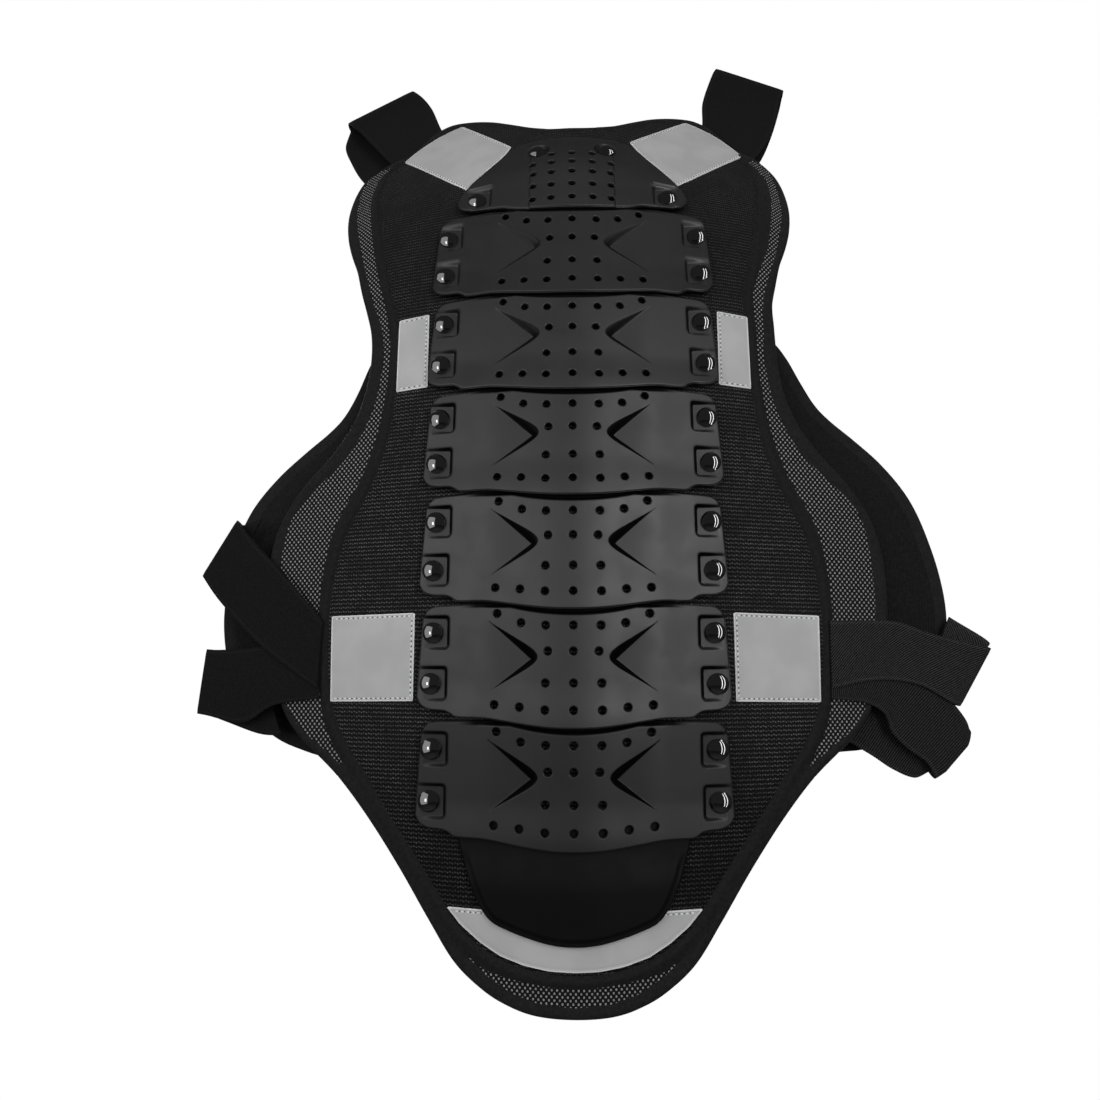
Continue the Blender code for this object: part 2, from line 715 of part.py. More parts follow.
SHOULDER_STRAPS = {
    "left": dict(
        front=(
            (10.0, tuple((-x, z) for x, z in SHOULDER_ROOT)),
            (4.0, ((-155, 334.5), (-111, 372.5))),
            (0.0, ((-167, 353), (-120, 389))),
            (-3.0, ((-175, 363), (-126, 395))),
        ),
        crease=((-179, 370), (-130, 401)),
        back=(
            (9.0, ((-180.5, 354), (-132.5, 384.5))),
            (14.0, ((-173, 332.5), (-135.5, 354))),
            (17.6, ((-158, 300), (-135, 316))),
        ),
    ),
    "right": dict(
        front=(
            (10.0, SHOULDER_ROOT),
            (4.5, ((155, 346.5), (102, 369.5))),
            (-2.0, ((165.8, 388), (108.8, 394))),
            (-5.5, ((170, 401), (114, 410))),
        ),
        crease=((172, 407), (118, 421)),
        back=(
            (4.0, ((167.5, 388.5), (110.5, 400.5))),
            (13.0, ((161, 353.5), (111, 365.5))),
            (17.6, ((153, 316), (114, 340))),
        ),
    ),
}


def spread(points, strips):
    """Fills in the points between the two ends of a row, unless they are all given."""
    if len(points) > 2:
        return list(points)
    (xa, za), (xb, zb) = points
    return [
        (xa + (xb - xa) * i / strips, za + (zb - za) * i / strips) for i in range(strips + 1)
    ]


def strap_stations(front, crease, back, strips, radius):
    """The centre sheet as (points, depth, normal), and the mean direction into the fold.

    A normal is (part along that direction, part through the depth).
    """
    stations = [(spread(points, strips), depth, (0.0, -1.0)) for depth, points in front]
    last, last_depth, _ = stations[-1]
    crease = spread(crease, strips)
    ways = []
    for (x1, z1), (x0, z0) in zip(crease, last):
        length = hypot(x1 - x0, z1 - z0)
        ways.append(((x1 - x0) / length, (z1 - z0) / length))
    mean = Vector((sum(x for x, _ in ways), sum(z for _, z in ways))).normalized()
    for k in range(FOLD_TURNS + 1):
        turn = pi * k / FOLD_TURNS
        reach = sin(turn) - 1
        points = [(x + mean.x * radius * reach, z + mean.y * radius * reach) for x, z in crease]
        depth = last_depth + radius * (1 - cos(turn))
        stations.append((points, depth, (sin(turn), -cos(turn))))
    stations += [(spread(points, strips), depth, (0.0, 1.0)) for depth, points in back]
    return stations, mean


def build_strap(name, pivot, strips, front, crease, back, radius=FOLD_RADIUS):
    """Webbing of even thickness about its centre sheet, closed at both ends."""
    stations, mean = strap_stations(front, crease, back, strips, radius)
    shape = bmesh.new()
    loops = []
    for points, depth, (out, inward) in stations:
        loop = []
        for half in (0.5, -0.5):
            shift = half * WEBBING
            line = [
                shape.verts.new(
                    (x + mean.x * out * shift, depth + inward * shift, z + mean.y * out * shift)
                )
                for x, z in points
            ]
            loop += line if half > 0 else line[::-1]
        loops.append(loop)
    for loop, after in zip(loops, loops[1:]):
        for i in range(len(loop)):
            j = (i + 1) % len(loop)
            shape.faces.new((loop[i], loop[j], after[j], after[i]))
    for loop, flip in ((loops[0], False), (loops[-1], True)):
        for i in range(strips):
            quad = (loop[i], loop[i + 1], loop[-i - 2], loop[-i - 1])
            shape.faces.new(quad[::-1] if flip else quad)
    drape_on(object_of(name, closed(shape), STRAP_MAT), pivot, sharp=50)


def build_straps():
    for side_name, side in SIDES:
        place = drape(side * 149, 4.0, -100.0)
        waist = empty(f"pivot_waist_{side_name}", place, SEGMENTS[5])
        for level in ("upper", "lower"):
            key = f"{level}_{side_name}"
            build_strap(f"waist_strap_{key}", waist, strips=3, **WAIST_STRAPS[key])
        place = drape(side * 114, 10.0, 320.0)
        shoulder = empty(f"pivot_shoulder_{side_name}", place, SEGMENTS[0])
        name = f"shoulder_strap_{side_name}"
        build_strap(name, shoulder, strips=4, **SHOULDER_STRAPS[side_name])


build_spine_plates()
build_neck_plate()
build_tail_plate()
build_rivets()
build_panel()
build_patches()
build_wings()
build_straps()
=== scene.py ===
"""The looks of a back protector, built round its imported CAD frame.

Armour plates are riveted along a textile panel, which carries reflective patches, kidney
wings, waist straps and shoulder straps. Z runs up the spine, -X is the left side, and the
plates face -Y, with the wearer on the +Y side.

Every sheet is a flat pattern in millimetres, u across and s up the spine, laid over the same
spine curve as the CAD at a depth w towards the wearer. On a spine plate, t is s measured from
the plate's own station.
"""

import json
from math import cos, hypot, pi, radians, sin, sqrt

import bpy
import numpy as np
from mathutils import Matrix, Vector
from mathutils.geometry import delaunay_2d_cdt
from mathutils.kdtree import KDTree

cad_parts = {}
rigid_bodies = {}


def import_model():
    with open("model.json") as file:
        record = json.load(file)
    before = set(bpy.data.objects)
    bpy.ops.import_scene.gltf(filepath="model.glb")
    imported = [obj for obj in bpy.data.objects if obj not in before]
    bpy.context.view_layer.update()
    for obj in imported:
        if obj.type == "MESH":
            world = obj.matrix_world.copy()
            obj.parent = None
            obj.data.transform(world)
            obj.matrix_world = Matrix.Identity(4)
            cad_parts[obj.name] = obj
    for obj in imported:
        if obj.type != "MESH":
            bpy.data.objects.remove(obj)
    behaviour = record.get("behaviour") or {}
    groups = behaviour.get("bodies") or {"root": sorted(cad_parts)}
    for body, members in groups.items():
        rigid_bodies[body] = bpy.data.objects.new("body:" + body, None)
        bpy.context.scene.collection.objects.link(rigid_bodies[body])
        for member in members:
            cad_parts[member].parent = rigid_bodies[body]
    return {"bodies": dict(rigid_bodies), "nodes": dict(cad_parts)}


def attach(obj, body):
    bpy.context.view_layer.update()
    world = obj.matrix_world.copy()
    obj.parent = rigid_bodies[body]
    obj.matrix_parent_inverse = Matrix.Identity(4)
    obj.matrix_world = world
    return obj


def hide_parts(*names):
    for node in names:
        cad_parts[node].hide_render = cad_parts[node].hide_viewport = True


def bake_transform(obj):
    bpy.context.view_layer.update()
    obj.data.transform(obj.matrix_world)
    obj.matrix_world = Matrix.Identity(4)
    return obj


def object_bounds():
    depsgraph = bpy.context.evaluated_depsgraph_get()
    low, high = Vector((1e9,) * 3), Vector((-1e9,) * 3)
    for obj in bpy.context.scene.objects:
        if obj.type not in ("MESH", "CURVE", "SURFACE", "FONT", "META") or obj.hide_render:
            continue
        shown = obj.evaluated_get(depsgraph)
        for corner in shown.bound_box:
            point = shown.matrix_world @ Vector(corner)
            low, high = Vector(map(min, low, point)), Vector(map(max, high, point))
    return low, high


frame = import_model()
CAD_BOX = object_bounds()
MM = 0.001
SIDES = (("left", -1), ("right", 1))

# ---------------------------------------------------------------- the CAD's surface (mm, degrees)
SPINE_STATIONS = (-300, -165, -99, -33, 33, 99, 165, 205, 225, 240, 300, 470)
SPINE_LEANS = (-10.5, -8.8, -6.2, -2.3, 1.0, 3.5, 6.5, 11.5, 18.0, 24.0, 26.0, 27.0)
SECTION_RISE, SECTION_HALF = 5.76, 25.0  # the hyperbola of the cross-section
ORIGIN_Y, ORIGIN_Z = 18.834, -22.68  # the frame's origin, on the lining at the waist
TABLE_STEP = 0.5
TABLE_FIRST, TABLE_LAST = -640, 1040  # steps below and above s = 0

SEGMENTS = (
    "neck_segment", "segment_2", "segment_3", "segment_4", "waist_segment", "segment_6",
    "segment_7", "tail_segment",
)
PLATE_PITCH = 65.3
PLATE_STATIONS = [157.0 - PLATE_PITCH * i for i in range(6)]
FLEX_LINES = (*(189.7 - PLATE_PITCH * i for i in range(6)), -200.5)  # where the segments bend
BAND_LINES = (215.0, 157.0, 91.7, 26.3, -39.0, -104.3, -169.7, -226.0)  # cuts between panel pieces

# ---------------------------------------------------------------- armour dimensions
PLATE_THICK = 2.4
HOLE_R = 2.2
HOLE_RIM = 0.75  # radius of the rounding round each hole
EDGE = 1.0  # radius of a plate's rounded edge
EDGE_RINGS = (0.12, 0.35, 0.7, 1.05, 1.8)
HOLE_ROWS = (  # t, then |u| of each hole
    (28.6, (42.7,)), (23.3, (29.1,)), (21.8, (15.3, 0.0)), (7.6, (14.1, 0.0)),
    (-9.8, (15.5, 0.0)), (-21.7, (43.9,)), (-22.9, (29.8,)), (-24.4, (15.7, 0.0)),
)
NECK_HOLES = (  # s, then |u| of each hole
    (196.0, (0.0, 13.5, 25.5)), (208.8, (0.0, 13.5, 25.5)), (221.0, (0.0, 13.5, 25.5)),
    (231.6, (0.0, 13.5, 26.0)), (241.8, (0.0, 13.5)),
)
RIVETS = ((80.0, 18.2), (81.0, -10.4))  # |u|, t
NECK_UPPER, NECK_LOWER = (23.2, 249.0), (62.4, 206.0)  # |u|, s of the neck plate's rivets
NECK_RIVETS = (NECK_UPPER, NECK_LOWER)
POCKET_FLOOR = 14.6
NECK_POCKET_FLOORS = (3.5, 11.0)
POCKET_HALF = 7.8
POCKET_CORNER = 1.2
POCKET_SLOPE = 2.3
NECK_SEAT_R = 7.0
NECK_WEDGE = (61.0, 217.0)  # |u|, s of the pressed wedge over each lower rivet

# the sideways V pressed into each half of a spine plate
CHEVRON = ((48.0, 24.9), (13.8, 4.5), (48.0, -15.2))  # |u|, t of its upper end, tip, lower end
CHEVRON_DEEP = 4.0
CHEVRON_WALLS = (6.2, 4.2)  # widths of the upper and lower wall
CHEVRON_WALL_RUN = 24.2  # over which the walls grow to those widths
CHEVRON_ROUND = 16.5

# the crease under which a plate tucks beneath the plate above
CREASE_T, CREASE_RISE, CREASE_HALF = 27.0, 4.4, 35.0

# ---------------------------------------------------------------- outlines: |u|, s
PANEL_HALF = (
    (0, 291), (14, 292.5), (28, 300), (44, 313), (58, 324), (73, 332), (88, 336), (98, 333),
    (106, 325), (114, 311), (121, 300), (129, 296), (138, 292), (147, 281), (152, 266), (154, 248),
    (154, 225), (152, 204), (148, 187), (142, 169), (137.5, 151), (133, 134), (130.3, 118),
    (129.2, 102), (129.7, 85), (132.5, 68), (138, 51.5), (147, 36.5), (157, 24), (168, 11.5),
    (177, -2), (183, -15), (187.3, -32), (189, -55), (188.3, -75), (186, -95), (181, -115),
    (172.5, -135), (162.5, -148), (153, -156.5), (136, -172), (117, -194), (98, -220), (81, -246),
    (66, -267), (50, -280), (36, -287), (21, -291), (0, -292),
)
CENTRE_HALF = (
    (122, 290), (130, 279), (132, 262), (133, 240), (130, 222), (126, 194), (120.5, 168),
    (116, 148), (112, 130), (110, 112), (109.5, 95), (110.5, 72), (112, 53), (115, 33), (121, 13),
    (129, -6), (137, -22), (142, -40), (145, -60), (146, -80), (145.5, -105), (143, -123),
    (140, -135), (131, -153), (122, -165), (107, -187), (90, -210), (76, -230), (63.5, -247.5),
    (53, -256), (41, -262.5), (27, -266.5), (14, -268.5), (0, -269),
)
MESH_INNER = (
    (131, 285), (137, 272), (139, 252), (137, 226), (134.5, 204), (131, 184), (127.5, 167),
    (124, 152), (119.5, 135), (117.5, 115), (116, 98), (116.5, 78), (118, 62), (121, 43),
    (126, 25), (131, 11), (140, -6), (147, -23), (150.5, -41), (152.5, -60), (153, -78),
    (151, -100), (150, -123), (147, -139), (141, -152), (135, -162),
)
MESH_OUTER = (
    (133, 290), (140, 288), (145.5, 278), (148.5, 260), (148, 238), (145.5, 212), (141.5, 192),
    (136.5, 170), (131.5, 152), (127, 136), (122.5, 118), (120.5, 98), (121.5, 79), (125, 60),
    (132, 42), (142, 26), (158, 10), (170, -3), (176, -15), (179.5, -35), (180.5, -60), (180, -76),
    (178, -100), (174, -120), (170, -131), (160, -144), (150, -151.5), (136, -163),
)
CRESCENT_HALF = (
    (0, -275), (10, -275), (23, -274), (37, -272), (49, -269), (60, -261.5), (48, -271.5),
    (34, -279.5), (20, -283.5), (0, -285),
)
PLATE_HALF = (  # |u|, t
    (0, -34.4), (12, -34.1), (24, -32.9), (37, -31.0), (50, -29.2), (64, -29.0), (67.2, -28.2),
    (69.6, -26.6), (73, -25.4), (81, -24.8), (85.8, -22.8), (88.3, -19.2), (88.7, -14), (86.4, 22),
    (85.3, 28), (82.6, 31.6), (78, 33.2), (62, 34), (44, 35.4), (36, 37.2), (20, 38), (0, 38),
)
NECK_HALF = (
    (0, 187.5), (22, 188.8), (36, 191.2), (45, 194.2), (56, 195.4), (66, 197), (72, 199.4),
    (75.4, 204), (74.6, 211), (69, 222), (57.5, 237.5), (46.5, 252), (41, 259), (33, 263.6),
    (0, 264.5),
)
TAIL_HALF = (
    (0, -254), (12, -253.2), (24, -250.6), (36, -247), (46, -242.4), (53, -233), (59, -218.5),
    (64, -201), (65.5, -192), (62, -189), (0, -189),
)
WING_OUTER = (
    (114, 132), (126, 136), (135, 126), (141, 110), (147, 88), (154, 70), (163, 58), (178, 44),
    (193, 29), (206, 12), (214, -3), (220, -21), (225, -42), (228, -64), (228, -82), (225, -102),
    (217, -121), (203, -138), (188, -149), (172, -155.5), (156, -160), (138, -165), (124, -164),
)
WING_INNER = ((117.5, -158), (117.5, -80), (117.5, 0), (115, 80), (111, 118))
PATCH_UPPER = {
    "left": (
        (82, 326.5), (91, 322.5), (100.5, 316.5), (109, 308.5), (116.5, 299.5), (122.5, 290),
        (70, 225), (61, 243), (51, 257), (46, 265), (42.5, 274),
    ),
    "right": (
        (84.5, 327.5), (93.5, 323.5), (102.5, 317.5), (110.5, 309.5), (117.5, 300), (123.5, 290.5),
        (70.5, 227), (61, 244), (50.5, 258), (45, 267), (40.5, 277),
    ),
}
PATCH_MIDDLE = ((91, 122.5), (111, 121), (110, 69), (89.5, 70))
PATCH_LOWER = ((92, -73.5), (144, -74.5), (143, -126), (92, -125))
PATCH_BOTTOM_HALF = (
    (0, -238), (71, -238), (63, -247), (52, -255.5), (40.5, -262), (27, -266), (13.5, -268),
    (0, -268.4),
)


# ---------------------------------------------------------------- the spine curve
def lean(s):
    return np.radians(np.interp(s, SPINE_STATIONS, SPINE_LEANS))


def spine_table(slope):
    """The running sum of a slope along the spine, zero at s = 0."""
    middles = (np.arange(TABLE_FIRST, TABLE_LAST) + 0.5) * TABLE_STEP
    table = np.concatenate([[0.0], np.cumsum(slope(lean(middles)) * TABLE_STEP)])
    return table - table[-TABLE_FIRST]


TABLE_S = np.arange(TABLE_FIRST, TABLE_LAST + 1) * TABLE_STEP
TABLE_Y, TABLE_Z = spine_table(np.sin), spine_table(np.cos)


def depth(u):
    return SECTION_RISE * (np.sqrt(1 + (np.asarray(u) / SECTION_HALF) ** 2) - 1)


def ramp(start, end, x):
    """A smooth step from 0 at start to 1 at end, which may lie below start."""
    share = np.clip((np.asarray(x, float) - start) / (end - start), 0.0, 1.0)
    return share * share * (3 - 2 * share)


def fillet(gap, radius):
    """The drop of a rounded edge at a distance from it."""
    return radius - np.sqrt(np.maximum(radius**2 - (radius - np.minimum(gap, radius)) ** 2, 0))


def bell(gap, wide):
    return np.exp(-((gap / wide) ** 2))


def hump(gap, wide, power):
    """A rounded swelling, 0 at gaps of 0 and wide."""
    return np.sin(pi * np.clip(gap / wide, 0, 1)) ** power


def drape(u, w, s):
    """Flat-pattern points laid over the spine curve, in metres, as rows of x, y, z."""
    u, w, s = np.broadcast_arrays(*(np.asarray(part, float) for part in (u, w, s)))
    y, z, angle = np.interp(s, TABLE_S, TABLE_Y), np.interp(s, TABLE_S, TABLE_Z), lean(s)
    deep = depth(u) + w
    y, z = y + deep * np.cos(angle) - ORIGIN_Y, z - deep * np.sin(angle) - ORIGIN_Z
    return np.stack([u, y, z], -1) * MM


def spot(u, w, s):
    return Vector(drape(u, w, s))


# ---------------------------------------------------------------- flat outlines
def mirrored(half):
    return list(half) + [(-u, s) for u, s in reversed(half) if u]


def flip(points, side):
    return [(side * u, s) for u, s in points]


def both(places):
    return [(side * u, s) for u, s in places for side in ((1, -1) if u else (1,))]


def settle(points):
    """The panel's upper half is sewn a little to the left of the plates; its foot is full."""
    u, s = np.array(points, float).T
    upper = ramp(105, 145, s) * ramp(300, 283, s)
    moved = u * (1 + 0.014 * ramp(-150, -230, s)) - upper * (3.6 + 0.9 * np.sign(u))
    return np.stack([moved, s - 2.2 * ramp(-225, -290, s)], 1)


def wing_edge(side):
    """The outer edge of a wing; the right wing is cut wider than the left."""
    u, s = np.array(WING_OUTER, float).T
    free, foot = ramp(118, 150, u), ramp(-110, -150, s)
    if side > 0:
        lift = 6.0 * ramp(188, 152, u) * ramp(-140, -152, s)
        return np.stack([u + 4.2 * free, s + lift + free * (5.0 * ramp(-40, 30, s) - 5.0 * foot)], 1)
    wide = 3.6 + 2.0 * ramp(-15, -70, s) * ramp(-135, -105, s)
    return np.stack([-u + wide * free, s - free * (1.5 * ramp(-40, 30, s) + 3.5 * foot)], 1)


def running(line):
    """The length along a line at each of its points."""
    return np.concatenate([[0.0], np.cumsum(np.hypot(*np.diff(line, axis=0).T))])


def sample(line, run, at):
    return np.stack([np.interp(at, run, line[:, 0]), np.interp(at, run, line[:, 1])], 1)


def even(points, step):
    """Points resampled evenly along an open line."""
    line = np.array(points, float)
    run = running(line)
    count = max(2, int(round(run[-1] / step)) + 1)
    return sample(line, run, np.linspace(0.0, run[-1], count))


def smooth(points, step, closed=False):
    """A Catmull-Rom curve through the points, resampled evenly."""
    p = np.array(points, float)
    if closed:
        knots = np.concatenate([p[-1:], p, p[:2]])
    else:
        knots = np.concatenate([[2 * p[0] - p[1]], p, [2 * p[-1] - p[-2]]])
    t = np.linspace(0, 1, 12, endpoint=False)[:, None]
    out = []
    for a, b, c, d in zip(knots, knots[1:], knots[2:], knots[3:]):
        square, cube = 2 * a - 5 * b + 4 * c - d, 3 * b - a - 3 * c + d
        out.append(0.5 * (2 * b + (c - a) * t + square * t**2 + cube * t**3))
    out = even(np.concatenate(out + [knots[-2:-1]]), step)
    return out[:-1] if closed else out


def cornered(points, step, radius=0.0):
    """A closed outline with straight sides and slightly rounded corners."""
    p = np.array(points, float)
    out = []
    for before, here, after in zip(np.roll(p, 1, 0), p, np.roll(p, -1, 0)):
        if radius:
            first = here + (before - here) / np.linalg.norm(before - here) * radius
            last = here + (after - here) / np.linalg.norm(after - here) * radius
            t = np.linspace(0, 1, 5)[:, None]
            out.append((1 - t) ** 2 * first + 2 * t * (1 - t) * here + t**2 * last)
        else:
            out.append(here[None])
    out = np.concatenate(out)
    return even(np.concatenate([out, out[:1]]), step)[:-1]


def circle(u, s, radius, count=18):
    angle = np.arange(count) * 2 * pi / count
    return np.stack([u + radius * np.cos(angle), s + radius * np.sin(angle)], 1)


def distance(points, line, closed=True):
    start = np.asarray(line, float)
    end = np.roll(start, -1, 0) if closed else start[1:]
    start = start if closed else start[:-1]
    way = end - start
    size = np.maximum((way**2).sum(1), 1e-12)
    out = np.empty(len(points))
    for i in range(0, len(points), 3000):  # in batches, to spare memory
        p = points[i : i + 3000, None]
        share = np.clip(((p - start) * way).sum(-1) / size, 0, 1)
        out[i : i + 3000] = np.sqrt((((start + share[..., None] * way) - p) ** 2).sum(-1).min(1))
    return out


def inside(points, loop):
    start = np.asarray(loop, float)
    end = np.roll(start, -1, 0)
    out = np.empty(len(points), bool)
    for i in range(0, len(points), 6000):
        x, y = points[i : i + 6000, 0, None], points[i : i + 6000, 1, None]
        cross = (start[:, 1] > y) != (end[:, 1] > y)
        # level sides divide by zero; cross leaves them out
        with np.errstate(divide="ignore", invalid="ignore"):
            share = (end[:, 0] - start[:, 0]) * (y - start[:, 1]) / (end[:, 1] - start[:, 1])
            at = share + start[:, 0]
        out[i : i + 6000] = (cross & (x < at)).sum(1) % 2 == 1
    return out


def signed(points, loop):
    """Distance to a closed outline, positive inside."""
    return distance(points, loop) * np.where(inside(points, loop), 1.0, -1.0)


def unit(v):
    return v / np.maximum(np.linalg.norm(v, axis=-1, keepdims=True), 1e-12)


def turning(p):
    """1 for an anticlockwise outline, -1 for a clockwise one."""
    return np.sign((p[:, 0] * np.roll(p[:, 1], -1) - np.roll(p[:, 0], -1) * p[:, 1]).sum())


def offset(loop, inset):
    """Points set inside a closed outline; those that would cross are dropped."""
    p = np.asarray(loop, float)
    tangent = np.roll(p, -1, 0) - np.roll(p, 1, 0)
    tangent /= np.maximum(np.linalg.norm(tangent, axis=1), 1e-9)[:, None]
    moved = p + np.stack([-tangent[:, 1], tangent[:, 0]], 1) * turning(p) * inset
    return moved[distance(moved, p) > inset * 0.97]


def well_inside(lines, outline):
    return [p[inside(p, outline) & (distance(p, outline) > 0.1)] for p in lines]


def triangulate(outline, holes, cuts, loose, fill, near):
    """(points, triangles) of a flat outline.

    Triangles keep to the holes and cuts. Loose points are added, then a grid of spacing fill
    wherever it lies further than near * fill from them all.
    """
    fixed, edges = [], []

    def add(line, closed):
        start = sum(map(len, fixed))
        fixed.append(np.asarray(line, float))
        count = len(line)
        last = count if closed else count - 1
        edges.extend((start + i, start + (i + 1) % count) for i in range(last))

    for loop in (outline, *holes):
        add(loop, True)
    for cut in cuts:
        add(cut, False)
    fixed.extend(np.asarray(p, float) for p in loose if len(p))
    fixed = np.concatenate(fixed)
    low, high = np.asarray(outline).min(0), np.asarray(outline).max(0)
    cols = np.arange(low[0], high[0], fill)
    grid = []
    for j, row in enumerate(np.arange(low[1], high[1], fill * 0.866)):
        grid.append(np.stack([cols + (fill / 2 if j % 2 else 0), np.full(len(cols), row)], 1))
    grid = np.concatenate(grid)
    grid = grid[inside(grid, outline)]
    tree = KDTree(len(fixed))
    for i, (x, y) in enumerate(fixed):
        tree.insert((x, y, 0.0), i)
    tree.balance()
    reach = near * fill
    grid = grid[[tree.find((x, y, 0.0))[2] > reach for x, y in grid]]
    points = [Vector(p) for p in np.concatenate([fixed, grid])]
    made = delaunay_2d_cdt(points, edges, [], 0, 1e-5, False)
    points = np.array([(v.x, v.y) for v in made[0]])
    tris = np.array([f for f in made[2] if len(f) == 3], int)
    middle = points[tris].mean(1)
    keep = inside(middle, outline)
    for hole in holes:
        keep &= ~inside(middle, hole)
    tris = tris[keep]
    a, b, c = points[tris[:, 0]], points[tris[:, 1]], points[tris[:, 2]]
    area = (b[:, 0] - a[:, 0]) * (c[:, 1] - a[:, 1]) - (b[:, 1] - a[:, 1]) * (c[:, 0] - a[:, 0])
    tris[area < 0] = tris[area < 0][:, ::-1]
    tris = tris[np.abs(area) > 1e-7]
    used, index = np.unique(tris, return_inverse=True)
    return points[used], index.reshape(-1, 3)


# ---------------------------------------------------------------- meshes and objects
def mesh_of(name, verts, faces, mats, normals=None, uvs=None, slots=None):
    """A mesh from arrays; normals and uvs are given per corner, in the order of the faces."""
    mesh = bpy.data.meshes.new(name)
    mesh.from_pydata(verts.tolist(), [], faces)
    for mat in mats:
        mesh.materials.append(mat)
    if slots is not None:
        mesh.polygons.foreach_set("material_index", np.asarray(slots, np.int32))
    if uvs is not None:
        layer = mesh.uv_layers.new(name="pattern")
        layer.data.foreach_set("uv", np.asarray(uvs, np.float32).ravel())
    mesh.shade_smooth()
    if normals is not None:
        mesh.normals_split_custom_set(np.asarray(normals, float).tolist())
    mesh.update()
    return mesh


def link(name, mesh):
    obj = bpy.data.objects.new(name, mesh)
    bpy.context.scene.collection.objects.link(obj)
    return obj


def mount(obj, body, node=None):
    """Fix an object to a body, in place of a CAD node if it has one."""
    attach(obj, body)
    if node:
        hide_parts(node)


def vertex_normals(verts, tris):
    a, b, c = (verts[tris[:, k]] for k in range(3))
    face = np.cross(b - a, c - a)
    out = np.zeros((len(verts), 3))
    for k in range(3):
        np.add.at(out, tris[:, k], face)
    return unit(out)


def slope_normals(place, surface, points, reach=0.02):
    """Outward normals of place(u, surface(points), s) from its slopes."""

    def at(du, ds):
        moved = points + np.array([du, ds])
        return place(moved[:, 0], surface(moved), moved[:, 1])

    return unit(np.cross(at(reach, 0) - at(-reach, 0), at(0, reach) - at(0, -reach)))


def shell(name, points, tris, front, back, place, mats, zones=None, rim_zone=0, back_zone=0,
          bands=None, exact=None):
    """Closed sheets from one flat mesh: a front, a back and a rim.

    front and back are depths, zones and bands give each triangle's material slot and piece,
    and exact gives the front's normals.
    """
    count = len(points)
    front_verts = place(points[:, 0], front, points[:, 1])
    back_verts = place(points[:, 0], back, points[:, 1])
    verts = np.concatenate([front_verts, back_verts])
    front_normals = exact if exact is not None else vertex_normals(front_verts, tris)
    back_normals = -vertex_normals(back_verts, tris)

    # the rim runs along the edges that belong to one triangle only
    ends = np.concatenate([tris[:, [0, 1]], tris[:, [1, 2]], tris[:, [2, 0]]])
    owner = np.tile(np.arange(len(tris)), 3)
    _, index, uses = np.unique(np.sort(ends, 1), axis=0, return_inverse=True, return_counts=True)
    rim = uses[index.reshape(-1)] == 1
    ends, owner = ends[rim], owner[rim]
    quads = np.stack([ends[:, 1], ends[:, 0], ends[:, 0] + count, ends[:, 1] + count], 1)
    first, second, third = (verts[quads[:, k]] for k in range(3))
    wall = unit(np.cross(second - first, third - second))
    rim_normals = np.zeros((count, 3))
    for k in (0, 1):
        np.add.at(rim_normals, ends[:, k], wall)
    rim_normals = unit(rim_normals)
    sharp = (rim_normals[ends] * wall[:, None]).sum(-1).min(1) < 0.8

    zones = np.zeros(len(tris), int) if zones is None else zones
    bands = np.zeros(len(tris), int) if bands is None else bands
    meshes = []
    for band in range(bands.max() + 1):
        own, side = bands == band, bands[owner] == band
        fronts, quad, hard = tris[own], quads[side], sharp[side]
        backs = fronts[:, ::-1]
        corner = rim_normals[ends[side][:, [1, 0, 0, 1]]]
        corner[hard] = wall[side][hard][:, None]
        normals = (front_normals[fronts], back_normals[backs], corner)
        uvs = (points[fronts], points[backs], points[quad % count])
        used = np.unique(np.concatenate([fronts.ravel(), fronts.ravel() + count]))
        remap = np.zeros(2 * count, int)
        remap[used] = np.arange(len(used))
        faces = remap[fronts].tolist() + remap[backs + count].tolist() + remap[quad].tolist()
        rest = [np.full(own.sum(), back_zone), np.full(len(quad), rim_zone)]
        meshes.append(mesh_of(
            f"{name}_{band}", verts[used], faces, mats,
            normals=np.concatenate([part.reshape(-1, 3) for part in normals]),
            uvs=np.concatenate([part.reshape(-1, 2) for part in uvs]) / 100,
            slots=np.concatenate([zones[own], *rest]),
        ))
    return meshes


# ---------------------------------------------------------------- the chevrons' shape
def chevron_lines():
    """(a, b, c) of a |u| + b t + c, the depth inside the V's upper and lower outer sides."""
    upper, (tip_u, tip_t), lower = CHEVRON
    out = []
    for (end_u, end_t), sign in ((upper, -1), (lower, 1)):
        length = hypot(end_u - tip_u, end_t - tip_t)
        a, b = -sign * (end_t - tip_t) / length, sign * (end_u - tip_u) / length
        out.append((a, b, -a * tip_u - b * tip_t))
    return out


def chevron_walls(u, t):
    """Distance in from the V's rounded outer side, and distance left to the foot of its wall."""
    u = np.abs(u)
    upper, lower = (a * u + b * t + c for a, b, c in chevron_lines())
    near = np.maximum(CHEVRON_ROUND - np.abs(upper - lower), 0) / CHEVRON_ROUND
    into = np.minimum(upper, lower) - near**3 * CHEVRON_ROUND / 6
    share = np.maximum(CHEVRON[0][0] - u, 0) / CHEVRON_WALL_RUN
    return into, np.maximum(CHEVRON_WALLS[0] * share - upper, CHEVRON_WALLS[1] * share - lower)


def chevron_depth(u, t):
    """The recess inside a sideways V, deep at its tip and rising back to the surface outboard."""
    gap_in, gap_out = chevron_walls(u, t)
    into = np.maximum(gap_in, 0)
    part = into / np.maximum(into + np.maximum(gap_out, 0), 1e-6)
    return CHEVRON_DEEP * ramp(51, 14, np.abs(u)) * ramp(0, 1, part) * (gap_in > 0)


def crease_at(u):
    return CREASE_T + CREASE_RISE * np.minimum(1.0, (np.abs(u) / CREASE_HALF) ** 2)


